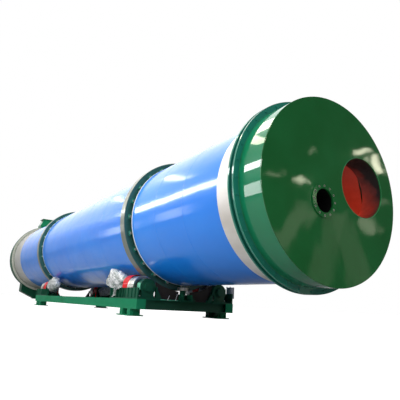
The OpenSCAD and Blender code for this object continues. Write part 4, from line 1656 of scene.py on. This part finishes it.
@dataclass
class ThrustRollers(SubAssembly):
    """The two thrust rollers at the near tyre, with what stands around them.

    Attributes:
        base: height of their base plate's top.
        clearance: gap between a shade plate and the tyre.
        cap: radius of the bolt circle in a cap.
    """

    base: float = 322 * MM
    clearance: float = 30 * MM
    cap: float = 28 * MM

    def build(self) -> None:
        """Dresses the thrust rollers."""
        self.finish_nodes("dark", "thrust_stand")
        self.finish_nodes("steel", "thrust_roller_near", "thrust_roller_far")
        self.cap_bolts("near")
        self.cap_bolts("far")
        self.side_plates()
        self.grease_line()
        self.shade_plate("left", -1.0)
        self.shade_plate("right", 1.0)

    @property
    def middle(self) -> float:
        """Place along X of the near tyre's middle."""
        low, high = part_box("tyre_near")
        return (low.x + high.x) / 2

    def side_plates(self) -> None:
        """Upright plates with gussets along both sides of the rollers' base plate."""
        plates = []
        for side in (-1.0, 1.0):
            inner, face, outer = (side * width * MM for width in (92, 104, 190))
            plates.append(Workshop.plate(
                "plate", (self.middle - 300 * MM, inner, self.base),
                (self.middle + 420 * MM, face, self.base + 105 * MM),
            ))
            for x in (self.middle - 270 * MM, self.middle + 390 * MM):
                web = Workshop.plate(
                    "web", (x - 5 * MM, face, self.base - 20 * MM),
                    (x + 5 * MM, outer, self.base + 90 * MM), 1 * MM,
                )
                Workshop.drop_corner(web, lambda v: v.y * side > 150 * MM, 80 * MM)
                plates.append(web)
        self.fit_group("thrust_side_plates", plates, "dark", Slot.DARK_GREEN)

    def shade_plate(self, label: str, side: float) -> None:
        """An upright near-black plate on the end beam, cut to an arc under the drum: painted shade under the
        tyre.

        Args:
            label: left or right.
            side: 1 or -1, the way along Y from the drum's middle.
        """
        axis, tyre = axis_and_radius("tyre_near")
        radius = tyre + self.clearance
        x = self.middle + 272 * MM
        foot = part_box("skid_end_beams")[1].z
        inner, outer = side * 125 * MM, side * 630 * MM
        name = f"splash_plate_near_{label}"
        plate = Workshop.add(
            bpy.ops.mesh.primitive_grid_add, name, x_subdivisions=24, y_subdivisions=1, size=1.0
        )
        for vertex in plate.data.vertices:
            y = inner + (vertex.co.x + 0.5) * (outer - inner)
            top = axis - math.sqrt(radius ** 2 - y ** 2)
            vertex.co = Vector((x, y, top if vertex.co.y > 0 else foot))
        Workshop.modify(plate, "SOLIDIFY", thickness=5 * MM, offset=0.0)
        Workshop.outward(plate)
        # The near-black plate is painted shade under the tyre.
        self.fit(plate, "shade_black", Slot.DARK_GREEN)

    def grease_line(self) -> None:
        """A thin pipe along the end beam to the thrust rollers, held by two white ties."""
        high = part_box("skid_end_beams")[1]
        x, z = high.x - 75 * MM, high.z + 9 * MM
        pipe = Workshop.bead("grease_line", (x, -560 * MM, z), (x, -110 * MM, z), 8 * MM)
        self.fit(pipe, "cast", Slot.GREEN)
        ties = []
        for y, height in ((-406 * MM, 85 * MM), (-238 * MM, 120 * MM)):
            ties.append(Workshop.add(
                bpy.ops.mesh.primitive_torus_add, "loop", major_radius=11 * MM, minor_radius=2.5 * MM,
                major_segments=24, minor_segments=8, location=(x, y, z), rotation=(math.pi / 2, 0.0, 0.0),
            ))
            start, end = (x + 6 * MM, y, z + 8 * MM), (x + 20 * MM, y + 25 * MM, z + height)
            ties.append(Workshop.bead("strap", start, end, 4 * MM))
        self.fit_group("cable_ties", ties, "white", Slot.FILM)

    def cap_bolts(self, end: str) -> None:
        """Three bolts in the cap over a roller's pin.

        Args:
            end: near or far.
        """
        joint = next(j for j in FRAME["joints"] if j["child"] == f"thrust_roller_{end}")
        centre = joint["pos_m"][0]
        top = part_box("thrust_stand")[1].z
        bolts = []
        for angle in (0.0, math.radians(120), math.radians(240)):
            at = (centre + self.cap * math.cos(angle), self.cap * math.sin(angle), top)
            bolts.append(Workshop.bolt("bolt", at, UP, 10 * MM))
        self.fit_group(f"thrust_cap_bolts_{end}", bolts, "plated", Slot.STEEL)


# ---- Studio ----


class Use(Enum):
    """What a lamp is for."""

    FILL = "fill"
    MIRROR = "mirror"


@dataclass(frozen=True)
class Softbox:
    """A lamp with a rectangular face.

    Attributes:
        name: the lamp's name.
        place: its middle.
        facing: the way that it shines.
        width: its level size.
        height: its other size.
        radiance: how bright its face is.
        use: a fill lights paint and isn't mirrored; a mirror lamp is only seen in gloss.
        tint: its colour.
        lean: how far it is turned about the way that it faces.
    """

    name: str
    place: Colour
    facing: Colour
    width: float
    height: float
    radiance: float
    use: Use = Use.FILL
    tint: Colour = (1.0, 1.0, 1.0)
    lean: float = 0.0

    def build(self) -> None:
        """Adds the lamp."""
        bpy.ops.object.select_all(action="DESELECT")
        aim = Vector(self.facing).to_track_quat("-Z", "Y") @ Quaternion((0.0, 0.0, 1.0), self.lean)
        bpy.ops.object.light_add(type="AREA", location=self.place, rotation=aim.to_euler())
        lamp = bpy.context.active_object
        lamp.name = self.name
        lamp.data.shape = "RECTANGLE"
        lamp.data.size = self.width
        lamp.data.size_y = self.height
        lamp.data.energy = self.radiance * math.pi * self.width * self.height
        lamp.data.color = self.tint
        lamp.visible_camera = False
        lamp.visible_glossy = self.use is Use.MIRROR
        lamp.visible_diffuse = self.use is Use.FILL
        lamp.visible_transmission = False


@dataclass
class Studio:
    """Floor, lamps, sky and camera.

    Attributes:
        eye: the camera's place.
        heading: the way it looks, as an angle from +X towards +Y.
        pitch: how far it looks up.
        roll: how far it leans.
        lens: its focal length in millimetres.
        sensor: width of its sensor in millimetres.
        left_wall: place across of the wall on the left.
        end_wall: place across of the wall that the inlet hood's end plate mirrors.
        roof: height of the roof lights.
        wall_windows: place along the left wall, width and brightness of each of its windows.
        roof_lights: place along and across, width and length of each roof light.
        end_windows: both ends of the middle line, width and brightness of each window in the end wall.
    """

    eye: Vector = field(default_factory=lambda: Vector((11.3526, -4.3828, 0.2402)))
    heading: float = 2.5725
    pitch: float = 0.241
    roll: float = 0.0518
    lens: float = 38.62
    sensor: float = 36.0
    left_wall: float = -8.3
    end_wall: float = 12.0
    roof: float = 8.0
    wall_windows: Sequence[Point] = ((-0.4, 1.5, 7.0), (-6.3, 2.8, 3.4), (-12.9, 3.4, 3.4))
    roof_lights: Sequence[Point] = (
        (2.25, -0.7, 0.85, 2.0), (1.45, -3.0, 0.75, 2.6), (-3.8, -2.8, 0.8, 3.0), (-9.2, -2.0, 0.5, 3.4),
    )
    end_windows: Sequence[tuple[Point, Point, float, float]] = (
        ((20.15, 7.3), (19.65, 6.75), 0.22, 14.0), ((19.2, 6.4), (19.05, 5.6), 0.08, 8.0),
        ((22.8, 8.1), (21.2, 7.8), 0.17, 2.6), ((19.2, 8.72), (19.1, 8.45), 0.14, 4.0),
        ((16.4, 7.65), (15.6, 7.45), 0.24, 9.0), ((15.5, 7.2), (15.0, 6.35), 0.26, 13.0),
        ((16.05, 4.4), (15.6, 3.7), 0.42, 1.8), ((15.25, 5.0), (14.95, 4.9), 0.3, 0.8),
        ((19.4, 5.5), (22.0, 3.4), 1.2, 0.8), ((17.6, 4.9), (19.2, 0.4), 1.2, 0.35),
        ((17.4, 4.9), (16.0, 0.6), 1.2, 0.35),
    )

    def build(self) -> None:
        """Sets the studio up."""
        self.camera()
        self.floor()
        self.sky()
        self.lamps()
        bpy.context.scene.view_settings.view_transform = "Standard"

    def end_window(self, name: str, start: Point, end: Point, width: float, radiance: float) -> Softbox:
        """A slanting window in the wall that the hood's end plate mirrors.

        Args:
            name: the lamp's name.
            start: one end of its middle line, along and up the wall.
            end: the other end.
            width: its width.
            radiance: how bright it is.

        Returns:
            The lamp.
        """
        run = Vector(end) - Vector(start)
        middle = (Vector(start) + Vector(end)) / 2
        place, warm = (middle.x, self.end_wall, middle.y), (1.0, 0.97, 0.72)
        lean = -math.atan2(run.y, run.x)
        return Softbox(name, place, (0.0, -1.0, 0.0), run.length, width, radiance, Use.MIRROR, warm, lean)

    def camera(self) -> None:
        """The camera at the eye."""
        level = math.cos(self.pitch)
        ahead = Vector((level * math.cos(self.heading), level * math.sin(self.heading), math.sin(self.pitch)))
        right = Vector((math.sin(self.heading), -math.cos(self.heading), 0.0))
        up = right.cross(ahead)
        right, up = (
            right * math.cos(self.roll) + up * math.sin(self.roll),
            up * math.cos(self.roll) - right * math.sin(self.roll),
        )
        turn = Matrix((right, up, -ahead)).transposed()
        bpy.ops.object.camera_add(location=self.eye, rotation=turn.to_euler())
        camera = bpy.context.active_object
        camera.data.lens = self.lens
        camera.data.sensor_width = self.sensor
        camera.data.clip_end = 500.0
        bpy.context.scene.camera = camera

    def floor(self) -> None:
        """A plain pale floor, which throws less light back than it shows."""
        bpy.ops.object.select_all(action="DESELECT")
        bpy.ops.mesh.primitive_plane_add(size=400.0, location=(0.0, 0.0, 0.0))
        floor = bpy.context.active_object
        floor.name = "floor"
        shader = Shader("pale_floor")
        shader.set(Base_Color=(0.30, 0.30, 0.29), Emission_Color=(1.0, 1.0, 1.0))
        shader.set(Roughness=0.9, Specular_IOR_Level=0.0)
        path = shader.nodes.new("ShaderNodeLightPath")
        shader.feed("Emission Strength", path.outputs["Is Camera Ray"])
        floor.data.materials.append(shader.material)

    def sky(self) -> None:
        """A white backdrop, a soft ambient light, and a dim hall that only gloss shows."""
        world = bpy.data.worlds.new("hall")
        bpy.context.scene.world = world
        world.use_nodes = True
        tree = NodeTree(world.node_tree)
        way = tree.node("ShaderNodeTexCoord", "Generated", {})
        rays = tree.nodes.new("ShaderNodeLightPath").outputs
        overcast = self.level(tree, way, UP, ((-1.0, 0.2), (0.1, 0.4), (1.0, 0.95)))
        far_end = (-0.84, 0.30, 0.45)
        glow = self.level(tree, way, far_end, ((0.60, 0.04), (0.80, 0.30), (0.90, 0.70), (0.97, 1.0)))
        ambient, hall, backdrop = (
            tree.node("ShaderNodeBackground", "Background", {"Color": colour, "Strength": strength})
            for colour, strength in ((overcast, 1.0), (glow, 1.5), ((1.0, 1.0, 1.0), 1.0))
        )
        inner = tree.node("ShaderNodeMixShader", 0, {0: rays["Is Glossy Ray"], 1: ambient, 2: hall})
        outer = tree.node("ShaderNodeMixShader", 0, {0: rays["Is Camera Ray"], 1: inner, 2: backdrop})
        tree.nodes.remove(tree.nodes["Background"])
        tree.links.new(outer, tree.nodes["World Output"].inputs["Surface"])

    @staticmethod
    def level(tree: NodeTree, way: Socket, towards: Point, stops: Sequence[tuple[float, float]]) -> Socket:
        """A grey level that depends on how far a direction points one way.

        Args:
            tree: the world's nodes.
            way: the direction.
            towards: the way against which it is measured.
            stops: cosines, rising, and the level at each.

        Returns:
            The level, as a colour.
        """
        cosine = tree.toward(way, towards)
        share = tree.node("ShaderNodeMapRange", "Result", {"Value": cosine, "From Min": -1.0})
        return tree.ramp(share, *(((each + 1.0) / 2, (grey, grey, grey)) for each, grey in stops))

    def lamps(self) -> None:
        """Soft light for the paint, and the hall's windows and roof lights that the gloss shows."""
        mirror = Use.MIRROR
        boxes = [
            Softbox("overhead_fill", (1.0, -3.0, 11.0), (0.0, 0.25, -1.0), 18.0, 8.0, 3.4),
            Softbox("left_fill", (4.0, -14.0, 6.0), (-0.3, 1.0, -0.35), 16.0, 6.0, 4.4),
            Softbox("front_fill", (19.0, -3.0, 5.0), (-1.0, 0.25, -0.3), 7.0, 5.0, 5.0),
            Softbox("inside_fill", (6.75, 0.1, 1.5), (0.55, 0.75, 0.35), 0.5, 0.3, 8.5),
            Softbox("sleeve_fill", (7.47, 0.48, 1.78), (0.15, 1.0, 0.1), 0.2, 0.3, 9.0),
            Softbox("floor_glow", (-2.5, -0.5, 0.02), (0.0, 0.0, 1.0), 4.0, 1.6, 0.4, mirror),
            Softbox("side_strip", (-7.0, -8.6, 7.0), (0.0, 1.0, -0.7), 16.0, 1.5, 17.0, mirror),
        ]
        for index, (x, width, radiance) in enumerate(self.wall_windows):
            place, inwards = (x, self.left_wall, 2.3), (0.0, 1.0, 0.0)
            boxes.append(Softbox(f"wall_window_{index}", place, inwards, width, 2.0, radiance, mirror))
        for index, (x, y, width, length) in enumerate(self.roof_lights):
            down, cream = (0.0, 0.0, -1.0), (1.0, 0.95, 0.72)
            place = (x, y, self.roof)
            boxes.append(Softbox(f"roof_light_{index}", place, down, width, length, 8.0, mirror, cream))
        for index, window in enumerate(self.end_windows):
            boxes.append(self.end_window(f"end_window_{index}", *window))
        for box in boxes:
            box.build()


# ---- Putting it together ----


def main() -> None:
    """Builds the sub-assemblies in order."""
    logging.basicConfig(level=logging.INFO, format="%(message)s")
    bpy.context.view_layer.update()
    nodes = FRAME["nodes"]
    axis, tyre = axis_and_radius("tyre_near")
    bore = min(math.hypot(v.co.y, v.co.z - axis) for v in nodes["drum_shell"].data.vertices)
    sleeve_low, sleeve_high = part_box("gas_inlet_sleeve")
    finishes = Finishes(axis, tyre - 4 * MM, bore + 5 * MM, (sleeve_low + sleeve_high) / 2)
    Studio().build()
    Drum(finishes, nodes).build()
    InletHood(finishes, nodes).build()
    OutletHood(finishes, nodes).build()
    Skid(finishes, nodes).build()
    RollerStation(finishes, nodes, "near", "left", tail=True).build()
    RollerStation(finishes, nodes, "near", "right", slump=0.03).build()
    RollerStation(finishes, nodes, "far", "left", slump=0.16).build()
    RollerStation(finishes, nodes, "far", "right", slump=0.09).build()
    JunctionBox(finishes, nodes).build()
    ThrustRollers(finishes, nodes).build()


if __name__ == "__main__":
    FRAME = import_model()
    main()
